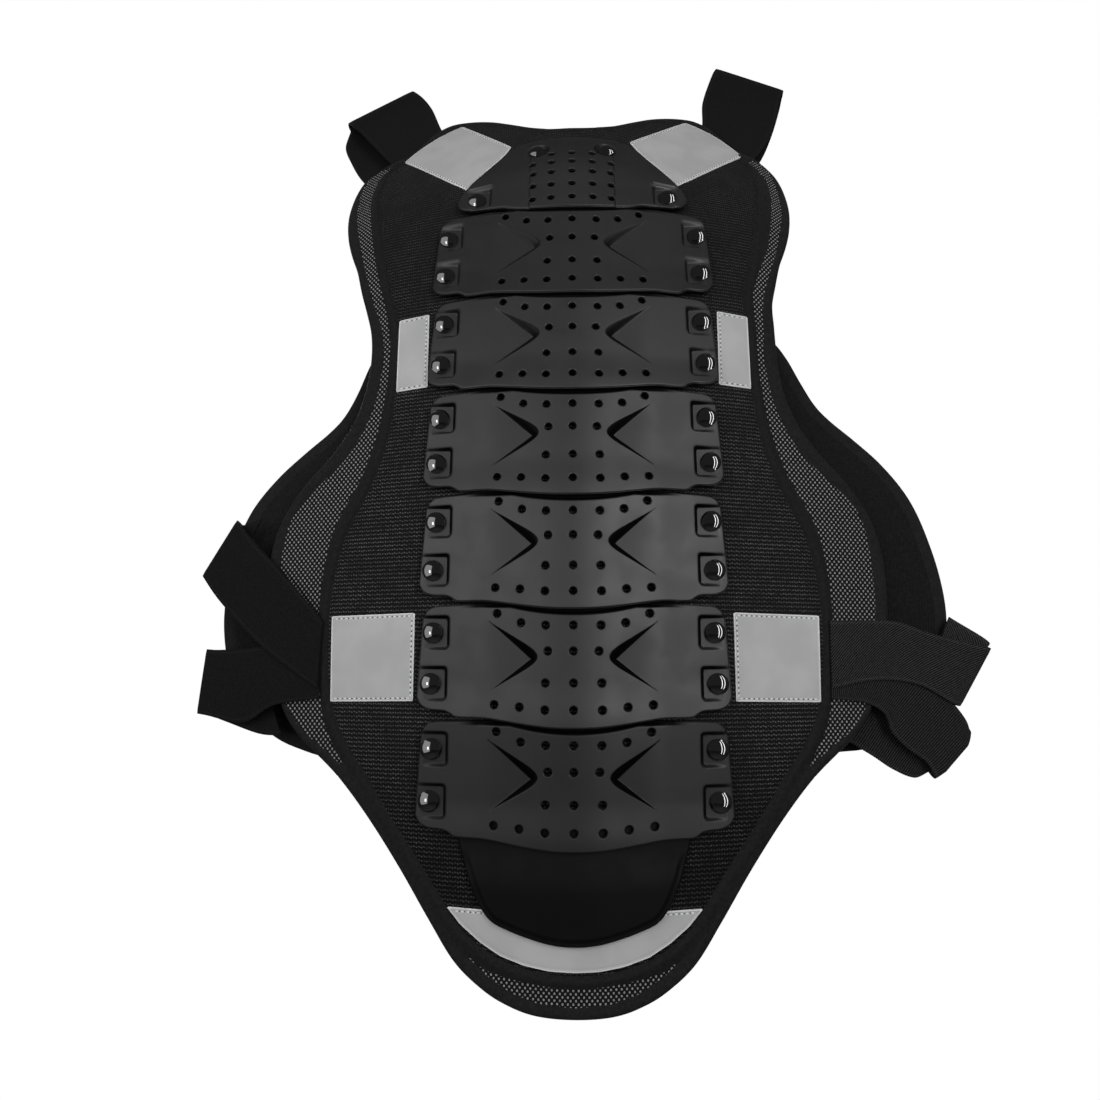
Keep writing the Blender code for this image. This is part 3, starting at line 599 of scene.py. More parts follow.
# ---------------------------------------------------------------- materials
class Material:
    """Short hands for a material's nodes."""

    def __init__(self, name):
        self.mat = bpy.data.materials.new(name)
        self.mat.use_nodes = True
        self.tree = self.mat.node_tree
        self.shader = self.tree.nodes["Principled BSDF"]

    def put(self, socket, value):
        if isinstance(value, bpy.types.NodeSocket):
            self.tree.links.new(value, socket)
        elif value is not None:
            socket.default_value = value

    def math(self, how, *values):
        node = self.tree.nodes.new("ShaderNodeMath")
        node.operation = how
        for i, value in enumerate(values):
            self.put(node.inputs[i], value)
        return node.outputs[0]

    def times(self, value, by):
        return self.math("MULTIPLY", value, by)

    def scaled(self, value, by, plus):
        return self.math("MULTIPLY_ADD", value, by, plus)

    def coords(self):
        """(u, s) in mm."""
        node = self.tree.nodes.new("ShaderNodeUVMap")
        node.uv_map = "pattern"
        split = self.tree.nodes.new("ShaderNodeSeparateXYZ")
        self.tree.links.new(node.outputs[0], split.inputs[0])
        return self.times(split.outputs[0], by=100.0), self.times(split.outputs[1], by=100.0)

    def wave(self, value, period):
        return self.math("SINE", self.scaled(value, by=2 * pi / period, plus=0.0))

    def noise(self, scale, detail=2.0, rough=0.5):
        where = self.tree.nodes.new("ShaderNodeTexCoord")
        node = self.tree.nodes.new("ShaderNodeTexNoise")
        self.tree.links.new(where.outputs["Object"], node.inputs["Vector"])
        node.inputs["Scale"].default_value = scale
        node.inputs["Detail"].default_value = detail
        node.inputs["Roughness"].default_value = rough
        return node.outputs["Fac"]

    def span(self, value, start, end, to=(0.0, 1.0), kind="SMOOTHSTEP"):
        """Map a value between start and end to the range given by to."""
        node = self.tree.nodes.new("ShaderNodeMapRange")
        node.interpolation_type = kind
        for i, part in enumerate((value, start, end, *to)):
            self.put(node.inputs[i], part)
        return node.outputs[0]

    def mix(self, share, first, second):
        node = self.tree.nodes.new("ShaderNodeMix")
        node.data_type = "RGBA"
        for key, value in (("Factor", share), ("A", first), ("B", second)):
            self.put(node.inputs[key], value)
        return node.outputs["Result"]

    def bump(self, height, strength, mm):
        node = self.tree.nodes.new("ShaderNodeBump")
        node.inputs["Strength"].default_value = strength
        node.inputs["Distance"].default_value = mm * MM
        self.put(node.inputs["Height"], height)
        self.tree.links.new(node.outputs[0], self.shader.inputs["Normal"])

    def set(self, colour, rough, metal=None, spec=None, sheen=None):
        for key, value in (
            ("Base Color", colour), ("Roughness", rough), ("Metallic", metal),
            ("Specular IOR Level", spec), ("Sheen Weight", sheen),
        ):
            self.put(self.shader.inputs[key], value)


def grey(value):
    return (value, value, value * 1.01, 1.0)


def pocket_shade(mat, u, s, rivet):
    """Where the painted shade on the inner and upper walls of a rivet's pocket falls, 0 to 1."""
    rivet_u, rivet_s = rivet
    inward = mat.math("MAXIMUM", mat.math("SUBTRACT", rivet_u - POCKET_HALF, u), 0.0)
    above = mat.math("MAXIMUM", mat.math("SUBTRACT", s, rivet_s + POCKET_HALF), 0.0)
    gap = mat.math("SQRT", mat.scaled(inward, by=inward, plus=mat.times(above, above)))
    wall = mat.times(
        mat.span(gap, start=0.0, end=0.7), mat.span(gap, start=1.5, end=3.3, to=(1.0, 0.0))
    )
    foot, outer = rivet_s - POCKET_HALF, rivet_u + POCKET_HALF
    wall = mat.times(wall, mat.span(s, start=foot - 1.5, end=foot + 2.0))
    return mat.times(wall, mat.span(u, start=outer + 1.0, end=outer - 4.0))


def painted_highlight(mat, u, s, inner, outer, bottom, top):
    """A soft-edged oblong of painted highlight, where a pressed wall catches the light."""
    across = mat.times(
        mat.span(u, start=inner - 2.0, end=inner + 1.5),
        mat.span(u, start=outer + 2.0, end=outer - 1.5),
    )
    upward = mat.times(
        mat.span(s, start=bottom - 0.8, end=bottom + 0.5),
        mat.span(s, start=top + 1.6, end=top - 0.8),
    )
    return mat.times(across, upward)


def plate_shade(mat, u, t):
    """Painted shade on the chevrons' walls, and a painted shadow on the strip tucked under the plate
    above.
    """
    lines = chevron_lines()
    sides = [mat.scaled(u, by=a, plus=mat.scaled(t, by=b, plus=c)) for a, b, c in lines]
    into = mat.math("SMOOTH_MIN", *sides, CHEVRON_ROUND)
    left = mat.math("MAXIMUM", mat.math("SUBTRACT", CHEVRON[0][0], u), 0.0)
    share = mat.times(left, by=1 / CHEVRON_WALL_RUN)
    gaps = []
    for wide, side in zip(CHEVRON_WALLS, sides):
        gaps.append(mat.math("SUBTRACT", mat.times(share, by=wide), side))
    gap = mat.math("MAXIMUM", *gaps)
    wall = mat.times(mat.span(into, start=0.0, end=0.45), mat.span(gap, start=-0.1, end=0.5))
    bow = mat.math("POWER", mat.times(u, by=1 / CREASE_HALF), 2.0)
    bow = mat.math("MINIMUM", bow, 1.0)
    tuck = mat.math("SUBTRACT", t, mat.scaled(bow, by=CREASE_RISE, plus=CREASE_T))
    tuck = mat.times(mat.span(tuck, start=0.1, end=1.2), mat.span(u, start=66, end=54))
    return mat.math("MAXIMUM", wall, tuck)


def armour_material(name, pockets, shade, highlights):
    """Moulded plastic; shade(mat, |u|, s) marks the steep walls where shade is painted, as the light
    doesn't reach them.

    The object's own red and green set how dark the painted shade in its pockets and chevrons is, its
    blue how bright its painted highlights, and its alpha how much it shines.
    """
    mat = Material(name)
    across, s = mat.coords()
    u = mat.math("ABSOLUTE", across)
    own = mat.tree.nodes.new("ShaderNodeObjectInfo")
    share = mat.tree.nodes.new("ShaderNodeSeparateColor")
    mat.tree.links.new(own.outputs["Color"], share.inputs[0])
    for_pockets, for_chevrons, for_highlights = share.outputs[:3]
    dark = mat.times(shade(mat, u, s), for_chevrons) if shade else mat.times(u, by=0.0)
    for rivet in pockets:
        pocket = mat.times(pocket_shade(mat, u, s, rivet), for_pockets)
        dark = mat.math("MAXIMUM", dark, pocket)
    bright = mat.times(u, by=0.0)
    for place in highlights:
        bright = mat.math("MAXIMUM", bright, mat.times(painted_highlight(mat, u, s, *place), for_highlights))
    fine, broad = mat.noise(scale=2600), mat.noise(scale=60, detail=3.0)
    colour = mat.mix(broad, grey(0.0125), grey(0.0150))
    # painted shade: the walls go near black and lose their shine; painted highlights: the streaks go
    # pale grey
    lit = mat.math("SUBTRACT", 1.0, mat.times(dark, by=0.93))
    colour = mat.mix(bright, mat.mix(lit, grey(0.0010), colour), grey(0.085))
    rough = mat.span(broad, start=0.3, end=0.7, to=(0.42, 0.50))
    mat.set(colour, rough, spec=mat.times(lit, mat.times(own.outputs["Alpha"], by=0.90)))
    mat.bump(fine, strength=0.10, mm=0.05)
    return mat.mat


def tail_material():
    mat = Material("tail_plastic")
    fine, broad = mat.noise(scale=3000), mat.noise(scale=80, detail=3.0)
    rough = mat.span(broad, start=0.3, end=0.7, to=(0.50, 0.60))
    mat.set(grey(0.0025), rough, spec=0.16)
    mat.bump(fine, strength=0.10, mm=0.05)
    return mat.mat


def rivet_material():
    mat = Material("rivet_metal")
    rough = mat.span(mat.noise(scale=900), start=0.3, end=0.7, to=(0.05, 0.09))
    mat.set(grey(0.22), rough, metal=1.0)
    return mat.mat


def knit_material():
    """Rows of short stitches, staggered from row to row."""
    mat = Material("panel_knit")
    u, s = mat.coords()
    row = mat.scaled(mat.wave(u, period=3.1), by=0.25, plus=s)
    rows = mat.wave(row, period=2.5)
    dash = mat.wave(mat.scaled(row, by=0.62, plus=u), period=1.5)
    fleck = mat.noise(scale=800, detail=3.0, rough=0.7)
    broad = mat.noise(scale=70)
    lit = mat.times(
        mat.span(rows, start=0.15, end=0.9), mat.span(dash, start=-0.5, end=0.7, to=(0.12, 1.0))
    )
    lit = mat.times(lit, mat.span(fleck, start=0.36, end=0.62, to=(0.12, 1.2), kind="LINEAR"))
    lit = mat.times(lit, mat.span(broad, start=0.35, end=0.65, to=(0.65, 1.1)))
    # the knit lies smoother towards the neck
    lit = mat.times(lit, mat.span(s, start=40, end=200, to=(1.0, 0.42)))
    # the knit is darker, with fainter stitches, towards the foot
    above_foot = mat.span(s, start=-225, end=-130)
    lit = mat.times(lit, mat.scaled(above_foot, by=0.45, plus=0.55))
    ground = mat.mix(above_foot, grey(0.0055), grey(0.0105))
    mat.set(mat.mix(lit, ground, grey(0.145)), rough=0.9, spec=0.08, sheen=0.02)
    mat.bump(mat.scaled(dash, by=0.4, plus=rows), strength=0.5, mm=0.5)
    return mat.mat


def mesh_material():
    """Black spacer mesh with a staggered lattice of pale eyelets."""
    mat = Material("side_mesh")
    u, s = mat.coords()
    dots = mat.times(mat.wave(u, period=2.9), mat.wave(s, period=3.6))
    fleck = mat.noise(scale=900)
    lit = mat.times(
        mat.span(dots, start=0.22, end=0.66), mat.span(fleck, start=0.3, end=0.7, to=(0.7, 1.05))
    )
    mat.set(mat.mix(lit, grey(0.0075), grey(0.34)), rough=0.7, spec=0.1, sheen=0.02)
    mat.bump(dots, strength=0.4, mm=0.3)
    return mat.mat


def tape_material(name, value, period=1.3, rough=0.8):
    """Binding tape: a fine grain along and across."""
    mat = Material(name)
    u, s = mat.coords()
    grain = mat.times(mat.wave(u, period), mat.wave(s, period))
    fleck = mat.noise(scale=500, detail=3.0, rough=0.6)
    lit = mat.span(fleck, start=0.3, end=0.7)
    mat.set(mat.mix(lit, grey(value * 0.75), grey(value * 1.2)), rough, spec=0.12, sheen=0.04)
    mat.bump(mat.math("ADD", grain, fleck), strength=0.25, mm=0.15)
    return mat.mat


def film_material(name, value):
    mat = Material(name)
    fine, broad = mat.noise(scale=1800), mat.noise(scale=45)
    lit = mat.span(broad, start=0.3, end=0.7)
    colour = mat.mix(lit, grey(value * 0.94), grey(value * 1.06))
    mat.set(colour, mat.span(fine, start=0.3, end=0.7, to=(0.50, 0.62)), spec=0.25)
    mat.bump(fine, strength=0.12, mm=0.04)
    return mat.mat


def wing_material():
    """Elastic with fine upright ribs."""
    mat = Material("wing_elastic")
    u, s = mat.coords()
    rib = mat.wave(u, period=1.9)
    cross = mat.wave(s, period=1.1)
    fleck = mat.noise(scale=600, detail=3.0, rough=0.7)
    lit = mat.scaled(rib, by=0.08, plus=mat.scaled(cross, by=0.06, plus=fleck))
    lit = mat.span(lit, start=0.1, end=1.0)
    mat.set(mat.mix(lit, grey(0.006), grey(0.020)), rough=0.9, spec=0.08, sheen=0.04)
    mat.bump(mat.scaled(cross, by=0.5, plus=rib), strength=0.2, mm=0.15)
    return mat.mat


def web_material(name, width, ribbed, twilled, pale):
    """Elastic webbing: ribs across the strap, a slanting weave, and a painted highlight along each
    edge.
    """
    mat = Material(name)
    u, s = mat.coords()  # u across the strap, s along it
    rib = mat.wave(s, period=1.5)
    slant = mat.wave(mat.scaled(s, by=-1.0, plus=u), period=1.9)
    fleck = mat.noise(scale=900, rough=0.7)
    # a painted highlight along each edge of the strap
    off_middle = mat.math("ABSOLUTE", mat.math("SUBTRACT", u, width / 2))
    edge = mat.math("SUBTRACT", mat.times(off_middle, by=2.0), width - 3.4)
    edge_highlight = mat.span(mat.math("ABSOLUTE", edge), start=0.3, end=1.2, to=(1.0, 0.0))
    lit = mat.scaled(rib, by=ribbed, plus=mat.scaled(slant, by=twilled, plus=fleck))
    lit = mat.scaled(edge_highlight, by=0.3, plus=lit)
    lit = mat.span(lit, start=0.1, end=1.2)
    mat.set(mat.mix(lit, grey(0.0035), grey(pale)), rough=0.8, spec=0.12, sheen=0.03)
    mat.bump(mat.scaled(slant, by=twilled, plus=mat.times(rib, by=ribbed)), strength=0.8, mm=0.6)
    return mat.mat


# a flecked colour, for the pale threads and for the painted shade in the stitch holes
def thread_and_hole_shade_material(name, value):
    mat = Material(name)
    colour = mat.mix(mat.noise(scale=2500), grey(value * 0.8), grey(value * 1.2))
    mat.set(colour, rough=0.7, spec=0.3)
    return mat.mat


WAIST_WIDTH, SHOULDER_WIDTH = 40.0, 50.0  # of the webbing

TAIL, RIVET = tail_material(), rivet_material()
KNIT, MESH, WING = knit_material(), mesh_material(), wing_material()
FILM = film_material("reflective_film", value=0.515)
# the patches' edges and rims are painted paler, a painted highlight
FILM_EDGE_HIGHLIGHT = film_material("reflective_film_hem", value=0.80)
PLAIN_WEB = web_material("plain_webbing", WAIST_WIDTH, ribbed=0.05, twilled=0.08, pale=0.016)
TWILL_WEB = web_material("twill_webbing", WAIST_WIDTH, ribbed=0.04, twilled=0.42, pale=0.062)
RIB_WEB = web_material("ribbed_webbing", WAIST_WIDTH, ribbed=0.42, twilled=0.05, pale=0.045)
SHOULDER_WEB = web_material(
    "shoulder_webbing", SHOULDER_WIDTH, ribbed=0.04, twilled=0.06, pale=0.014
)
TAPE = tape_material("binding_tape", value=0.015)
PIPING = tape_material("piping_tape", value=0.013, period=1.1, rough=0.75)
LINING = tape_material("lining_cloth", value=0.042, period=2.2, rough=0.85)
PALE_THREAD = thread_and_hole_shade_material("thread_pale", value=0.83)
# painted shade in the stitch holes
HOLE_SHADE = thread_and_hole_shade_material("thread_dark", value=0.012)

# inner, outer, bottom and top of each painted highlight; the spine plates' lie just above the
# pockets
PLATE_HIGHLIGHTS = [
    (u - 8.5, u + 5.5, t + POCKET_HALF + 0.2, t + POCKET_HALF + 3.0) for u, t in RIVETS
]
NECK_HIGHLIGHTS = [(53.0, 68.5, 215.2, 218.6)]
ARMOUR = armour_material("armour_plastic", RIVETS, plate_shade, PLATE_HIGHLIGHTS)
NECK_ARMOUR = armour_material("neck_plastic", NECK_RIVETS, None, NECK_HIGHLIGHTS)

# how dark the painted shade in the pockets and chevrons, how bright the painted highlights, and how
# much each plate shines, plate by plate
PLATE_LIGHT = (
    (0.15, 0.55, 0.75, 0.64), (0.75, 0.85, 0.10, 0.87), (0.95, 1.0, 0.0, 0.81),
    (1.0, 1.0, 0.0, 0.82), (1.0, 1.0, 0.0, 0.72), (0.8, 1.0, 0.0, 0.47),
)
NECK_LIGHT = (0.0, 0.0, 0.9, 0.69)


# ---------------------------------------------------------------- armour plates
def pocket_share(points, u, s):
    """1 inside a rivet's rounded square pocket, falling to 0 up its walls."""
    gap = np.abs(points - np.array([u, s])) - POCKET_HALF + POCKET_CORNER
    outside = np.hypot(np.maximum(gap[:, 0], 0), np.maximum(gap[:, 1], 0))
    return ramp(POCKET_SLOPE, 0.0, outside + np.minimum(gap.max(1), 0) - POCKET_CORNER)


def pocket_rings(u, s):
    rings = []
    for grow in (-0.4, 0.0, 0.35, 0.8, 1.3, 1.8, 2.3, 2.8):
        half = POCKET_HALF + grow
        square = [(u + x * half, s + y * half) for x, y in ((-1, -1), (1, -1), (1, 1), (-1, 1))]
        rings.append(cornered(square, 0.9, max(0.8, 0.8 + grow)))
    return rings


def rim_drop(points, holes):
    out = np.zeros(len(points))
    for u, s in holes:
        near = (np.abs(points[:, 0] - u) < 4) & (np.abs(points[:, 1] - s) < 4)
        gap = np.hypot(points[near, 0] - u, points[near, 1] - s) - HOLE_R
        out[near] = np.maximum(out[near], fillet(gap, HOLE_RIM))
    return out


def pierced(outline, spots, details, fill):
    """A flat plate with round holes, finer at its edge, its holes and the given details."""
    loose = [offset(outline, inset) for inset in EDGE_RINGS]
    loose += [circle(u, s, HOLE_R + grow) for u, s in spots for grow in (0.12, 0.35, 0.75, 1.3)]
    loose = well_inside(loose + details, outline)
    for u, s in spots:
        loose = [p[np.hypot(p[:, 0] - u, p[:, 1] - s) > HOLE_R + 0.08] for p in loose]
    return triangulate(outline, [circle(u, s, HOLE_R) for u, s in spots], (), loose, fill, 0.5)


def armour_mesh(name, flat, outline, spots, body, back, place, mat):
    """A plate whose front is its body with the edges and holes rounded off."""
    points, tris = flat

    def front(at):
        return body(at) + fillet(distance(at, outline), EDGE) + rim_drop(at, spots)

    exact = slope_normals(place, front, points)
    inner = back(points) + PLATE_THICK
    return shell(name, points, tris, front(points), inner, place, (mat,), exact=exact)[0]


def plate_body(points, pressed=True):
    """Depth of the plate's surface below the swept shell; its back is pressed less deep."""
    u, t = points[:, 0], points[:, 1]
    flare = -1.4 * ramp(-8, -32, t)
    tuck = 3.0 * ramp(0, 2.8, t - crease_at(u)) * ramp(56, 38, np.abs(u))
    out = chevron_depth(u, t) if pressed else np.maximum(0, chevron_depth(u, t) - 1.3)
    for rivet_u, rivet_t in both(RIVETS):
        share = pocket_share(points, rivet_u, rivet_t)
        out = np.maximum(out, share * np.maximum(0, POCKET_FLOOR - depth(u)))
    return flare + tuck + out


def plate_back(points):
    return plate_body(points, pressed=False)


def plate_place(u, w, t):
    u, w, t = np.broadcast_arrays(u, w, t)
    return np.stack([u, depth(u) + w, t], -1) * MM


def spine_plates():
    outline = smooth(mirrored(PLATE_HALF), 0.9, True)
    spots = both([(u, t) for t, row in HOLE_ROWS for u in row])
    details = []
    for u, t in both(RIVETS):
        details += pocket_rings(u, t)
    grid = np.meshgrid(np.arange(14.0, 51.0, 0.75), np.arange(-20.0, 27.0, 0.65))
    grid = np.stack(grid, -1).reshape(-1, 2)
    into, gap = chevron_walls(grid[:, 0], grid[:, 1])
    grid = grid[(into > -0.7) & (gap > -0.8)]
    details += [grid, grid * np.array([-1, 1])]
    across = np.linspace(-52, 52, 90)
    for above in (-0.3, 0.2, 0.7, 1.4, 2.1, 2.8):
        details.append(np.stack([across, crease_at(across) + above], 1))
    flat = pierced(outline, spots, details, 2.1)
    mesh = armour_mesh(
        "spine_plate", flat, outline, spots, plate_body, plate_back, plate_place, ARMOUR
    )
    for k, station in enumerate(PLATE_STATIONS):
        obj = link(f"armour_plate_{k + 1}", mesh)
        obj.color = PLATE_LIGHT[k]
        obj.location = spot(0, 0, station)
        obj.rotation_euler = (-float(lean(station)), 0, 0)
        mount(obj, SEGMENTS[k + 1], f"spine_plate_{k + 1}")


def neck_body(points):
    u, s = points[:, 0], points[:, 1]
    out = -1.4 * ramp(212, 190, s)
    field = -0.7 * ramp(28.2, 26.9, np.abs(u)) * ramp(262, 250, s)  # the raised middle
    for rivet, floor in zip(NECK_RIVETS, NECK_POCKET_FLOORS):
        for rivet_u, rivet_s in both([rivet]):
            if rivet == NECK_UPPER:  # the upper rivets have round seats
                gap = np.hypot(u - rivet_u, s - rivet_s) - NECK_SEAT_R
                share = ramp(1.5, 0.0, gap)
            else:
                share = pocket_share(points, rivet_u, rivet_s)
            out = out + share * np.maximum(0, floor - depth(u))
            field = field * (1 - share)
    for side in (1, -1):
        across, up = (points - np.array([side * NECK_WEDGE[0], NECK_WEDGE[1]])).T
        share = ramp(8.5, 7.0, np.abs(across)) * ramp(2.2, 1.0, np.abs(up + 0.10 * side * across))
        out = out + 1.1 * share * ramp(-2.2, 2.2, up)
    return out + field


def neck_plate():
    outline = smooth(mirrored(NECK_HALF), 0.9, True)
    spots = both([(u, s) for s, row in NECK_HOLES for u in row])
    details = []
    for u, s in both([NECK_UPPER]):
        for grow in (-0.4, 0.0, 0.3, 0.6, 0.9, 1.2, 1.5, 1.9):
            details.append(circle(u, s, NECK_SEAT_R + grow, 48))
    for u, s in both([NECK_LOWER]):
        details += pocket_rings(u, s)
    wedge_u, wedge_s = NECK_WEDGE
    across = np.linspace(wedge_u - 10, wedge_u + 10, 24)
    for side in (1, -1):
        for u in (26.6, 26.9, 27.3, 27.8, 28.2, 28.6):  # along the sides of the raised middle
            details.append(np.stack([np.full(70, side * u), np.linspace(188, 263, 70)], 1))
        for up in (-2.4, -1.7, -1, 0, 1, 1.7, 2.4):
            line = wedge_s + up - 0.1 * (across - wedge_u)
            details.append(np.stack([across * side, line], 1))
    flat = pierced(outline, spots, details, 2.0)
    mesh = armour_mesh(
        "neck_plate", flat, outline, spots, neck_body, neck_body, drape, NECK_ARMOUR
    )
    obj = link("armour_plate_neck", mesh)
    obj.color = NECK_LIGHT
    mount(obj, "neck_segment", "neck_plate")


def tail_plate():
    outline = smooth(mirrored(TAIL_HALF), 1.2, True)
    loose = [offset(outline, inset) for inset in (0.12, 0.35, 0.7, 1.05, 2.0, 3.0, 4.0, 5.0)]
    flat = triangulate(outline, (), (), loose, 2.4, 0.55)

    def body(at):
        s = at[:, 1]
        lip = 0.7 * ramp(5.0, 2.0, distance(at, outline)) * ramp(-205, -215, s)
        return 2.8 - 2.2 * ramp(-200, -226, s) + lip

    mesh = armour_mesh("tail_plate", flat, outline, (), body, body, drape, TAIL)
    mount(link("tail_armour", mesh), "tail_segment", "tail_plate")


# ---------------------------------------------------------------- rivets
RIVET_R, RIVET_DOME = 6.0, 3.3


def turned(name, profile, steps, mat):
    """A turned body about Y from (radius, y) in mm, first and last on the axis."""
    verts, faces, rings = [], [], []
    for radius, y in profile:
        count = steps if radius else 1
        rings.append(list(range(len(verts), len(verts) + count)))
        for i in range(count):
            angle = 2 * pi * i / steps
            verts.append((radius * cos(angle) * MM, y * MM, radius * sin(angle) * MM))
    for a, b in zip(rings, rings[1:]):
        for i in range(steps):
            j = (i + 1) % steps
            corners = [a[i % len(a)], a[j % len(a)], b[j % len(b)], b[i % len(b)]]
            faces.append(list(dict.fromkeys(corners)))
    mesh = mesh_of(name, np.array(verts), faces, (mat,))
    mesh.set_sharp_from_angle(angle=radians(50))
    return mesh


def rivet_mesh():
    """A domed head on a shank, with y growing towards the wearer."""
    rise = RIVET_DOME - 0.5
    ball = (RIVET_R * RIVET_R + rise**2) / (2 * rise)
    profile = [(0.0, -RIVET_DOME)]
    for k in range(1, 13):
        radius = (RIVET_R - 0.25) * k / 12
        profile.append((radius, ball - RIVET_DOME - sqrt(ball * ball - radius * radius)))
    y = profile[-1][1]
    profile += [(RIVET_R - 0.08, y + 0.14), (RIVET_R, y + 0.32), (RIVET_R - 0.05, 0.25)]
    profile += [(2.5, 0.35), (2.5, 11.0), (0.0, 11.5)]
    return turned("rivet", profile, 40, RIVET)


def rivet_seat(node, axis):
    """The point under a rivet's head: 3 mm along its axis from the top of its CAD dome."""
    verts = np.array([v.co for v in node.data.vertices])
    along = verts @ np.array(axis)
    top = verts[along < along.min() + 1e-5].mean(0)
    return Vector(top) + axis * (3.0 * MM)


def rivets():
    mesh = rivet_mesh()
    for name in sorted(n for n in frame["nodes"] if n.startswith("rivet_")):
        node = frame["nodes"][name]
        part = name.split("_")
        if part[1] == "neck":
            station = (NECK_UPPER if part[2] == "upper" else NECK_LOWER)[1]
        else:
            station = PLATE_STATIONS[int(part[1]) - 1]
        angle = float(lean(station))
        obj = link("stud_" + name[len("rivet_") :], mesh)
        obj.rotation_euler = (-angle, 0, 0)
        obj.location = rivet_seat(node, Vector((0, cos(angle), -sin(angle))))
        body = next(b for b, empty in frame["bodies"].items() if node.parent is empty)
        mount(obj, body, name)


# ---------------------------------------------------------------- the textile panel
def seams(side):
    """The centre, inner mesh and outer mesh seams; the mesh is narrower at the right shoulder."""
    halves = (CENTRE_HALF, MESH_INNER, MESH_OUTER)
    centre, inner, outer = (smooth(half, 2.0) * np.array([side, 1]) for half in halves)
    if side > 0:
        s = inner[:, 1]
        inner[:, 0] += 3.9 * ramp(288, 262, s) * ramp(150, 185, s)
        s = outer[:, 1]
        outer[:, 0] += 1.4 * ramp(150, 185, s) * ramp(240, 212, s)
    return settle(centre), settle(inner), settle(outer)


PANEL_OUTLINE = smooth(settle(mirrored(PANEL_HALF)), 2.0, True)
SEAMS = {side: seams(side) for _, side in SIDES}
CENTRE_LOOP = np.concatenate([  # closed well above the panel's top
    np.array([(-160.0, 420.0), (160.0, 420.0), (150.0, 330.0), (112, 301)]),
    SEAMS[1][0], SEAMS[-1][0][::-1][1:],
    np.array([(-112, 301), (-150.0, 330.0)]),
])
MESH_RIGHT = np.concatenate([SEAMS[1][1], SEAMS[1][2][::-1]])
MESH_LEFT = np.concatenate([SEAMS[-1][1], SEAMS[-1][2][::-1]])[::-1]
CRESCENT = settle(cornered(mirrored(CRESCENT_HALF), 2.0))


def beside(line, gap):
    tangent = np.gradient(line, axis=0)
    return line + unit(np.stack([-tangent[:, 1], tangent[:, 0]], 1)) * gap


def panel_pattern():
    outline = PANEL_OUTLINE
    ring = offset(outline, 4.0)
    loose = [offset(outline, inset) for inset in (0.2, 0.7, 1.4, 2.2, 3.2)]
    loose += [ring[ring[:, 1] > 285], CRESCENT]
    for side in (1, -1):
        centre, *mesh_seams = SEAMS[side]
        for gap in (1.2, 2.6, 4.2, 6.0):
            loose.append(beside(centre, gap * side))
            if gap < 3:
                loose.append(beside(centre, -gap * side))
        for line in mesh_seams:
            loose += [beside(line, gap) for gap in (-1.2, 1.2)]
    loose = [p[inside(p, outline) & (distance(p, outline) > 0.15)] for p in loose]
    cuts = []
    for s in BAND_LINES:
        cut = np.stack([np.linspace(-230, 230, 185), np.full(185, s)], 1)
        cut = cut[inside(cut, outline)]
        cuts.append(np.concatenate([[cut[0] - (6, 0)], cut, [cut[-1] + (6, 0)]]))
    return triangulate(outline, (), [*cuts, *SEAMS[1], *SEAMS[-1]], loose, 3.0, 0.45)


def panel_zones(middle):
    """Each triangle's material slot: 0 knit, 1 mesh, 2 tape, 3 piping."""
    zones = np.full(len(middle), 2)
    near_edge = distance(middle, PANEL_OUTLINE) < 4.0
    centre = inside(middle, CENTRE_LOOP) & ~(near_edge & (middle[:, 1] > 285))
    zones[(distance(middle, CENTRE_LOOP) < 7.5) & ~centre] = 3
    in_mesh = inside(middle, MESH_RIGHT) | inside(middle, MESH_LEFT)
    zones[in_mesh | inside(middle, CRESCENT)] = 1
    zones[centre] = 0
    return zones


def panel_depths(points):
    """The depths of the panel's front and back."""
    u, s = points[:, 0], points[:, 1]
    gap_out = distance(points, PANEL_OUTLINE)
    in_centre = signed(points, CENTRE_LOOP)
    in_mesh = np.maximum(signed(points, MESH_RIGHT), signed(points, MESH_LEFT))
    in_mesh = np.maximum(in_mesh, signed(points, CRESCENT))
    below_top = 1 - ramp(288, 300, s)

    front = np.full(len(points), 6.0)
    front += 0.9 * bell(in_centre, 1.1) * below_top  # the centre seam
    front -= 1.3 * hump(-in_centre, 7.0, 0.6) * (in_mesh < 0.3) * below_top  # the piping
    front += 0.8 * bell(in_mesh, 1.0)  # the mesh seams
    front += 0.5 * ramp(0, 3, in_mesh)
    front -= 0.5 * ramp(0, 14, in_centre) * below_top
    front -= 0.8 * hump(gap_out, np.where(s > 292, 5.0, 8.5), 0.8) * (in_mesh < 0)  # the binding
    round_off = fillet(gap_out, 3.0)
    front += round_off

    lining = 15.0 + np.maximum(0.0, depth(30.0) - depth(u))
    back = lining - 0.9 * round_off - 0.9 * bell(in_centre, 1.6) * below_top
    back -= 0.6 * bell(gap_out - 7.5, 1.4)
    for line in FLEX_LINES:  # quilting across the lining between the foam blocks
        back -= 1.3 * bell(s - line, 2.6) * ramp(-2, 8, in_centre)
    return front, back


def panel():
    points, tris = panel_pattern()
    middle = points[tris].mean(1)
    front, back = panel_depths(points)
    bands = np.zeros(len(tris), int)
    for line in BAND_LINES:
        bands += middle[:, 1] < line
    meshes = shell(
        "panel", points, tris, front, back, drape, (KNIT, MESH, TAPE, PIPING, LINING),
        panel_zones(middle), rim_zone=2, back_zone=4, bands=bands,
    )
    for k, mesh in enumerate(meshes):
        obj = link(f"textile_panel_{k + 1}", mesh)
        if k == 0:
            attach(obj, SEGMENTS[0])
        elif k == len(BAND_LINES):
            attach(obj, SEGMENTS[-1])
        else:
            line = FLEX_LINES[k - 1]
            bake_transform(obj)
        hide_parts(f"back_panel_{min(k + 1, 8)}")


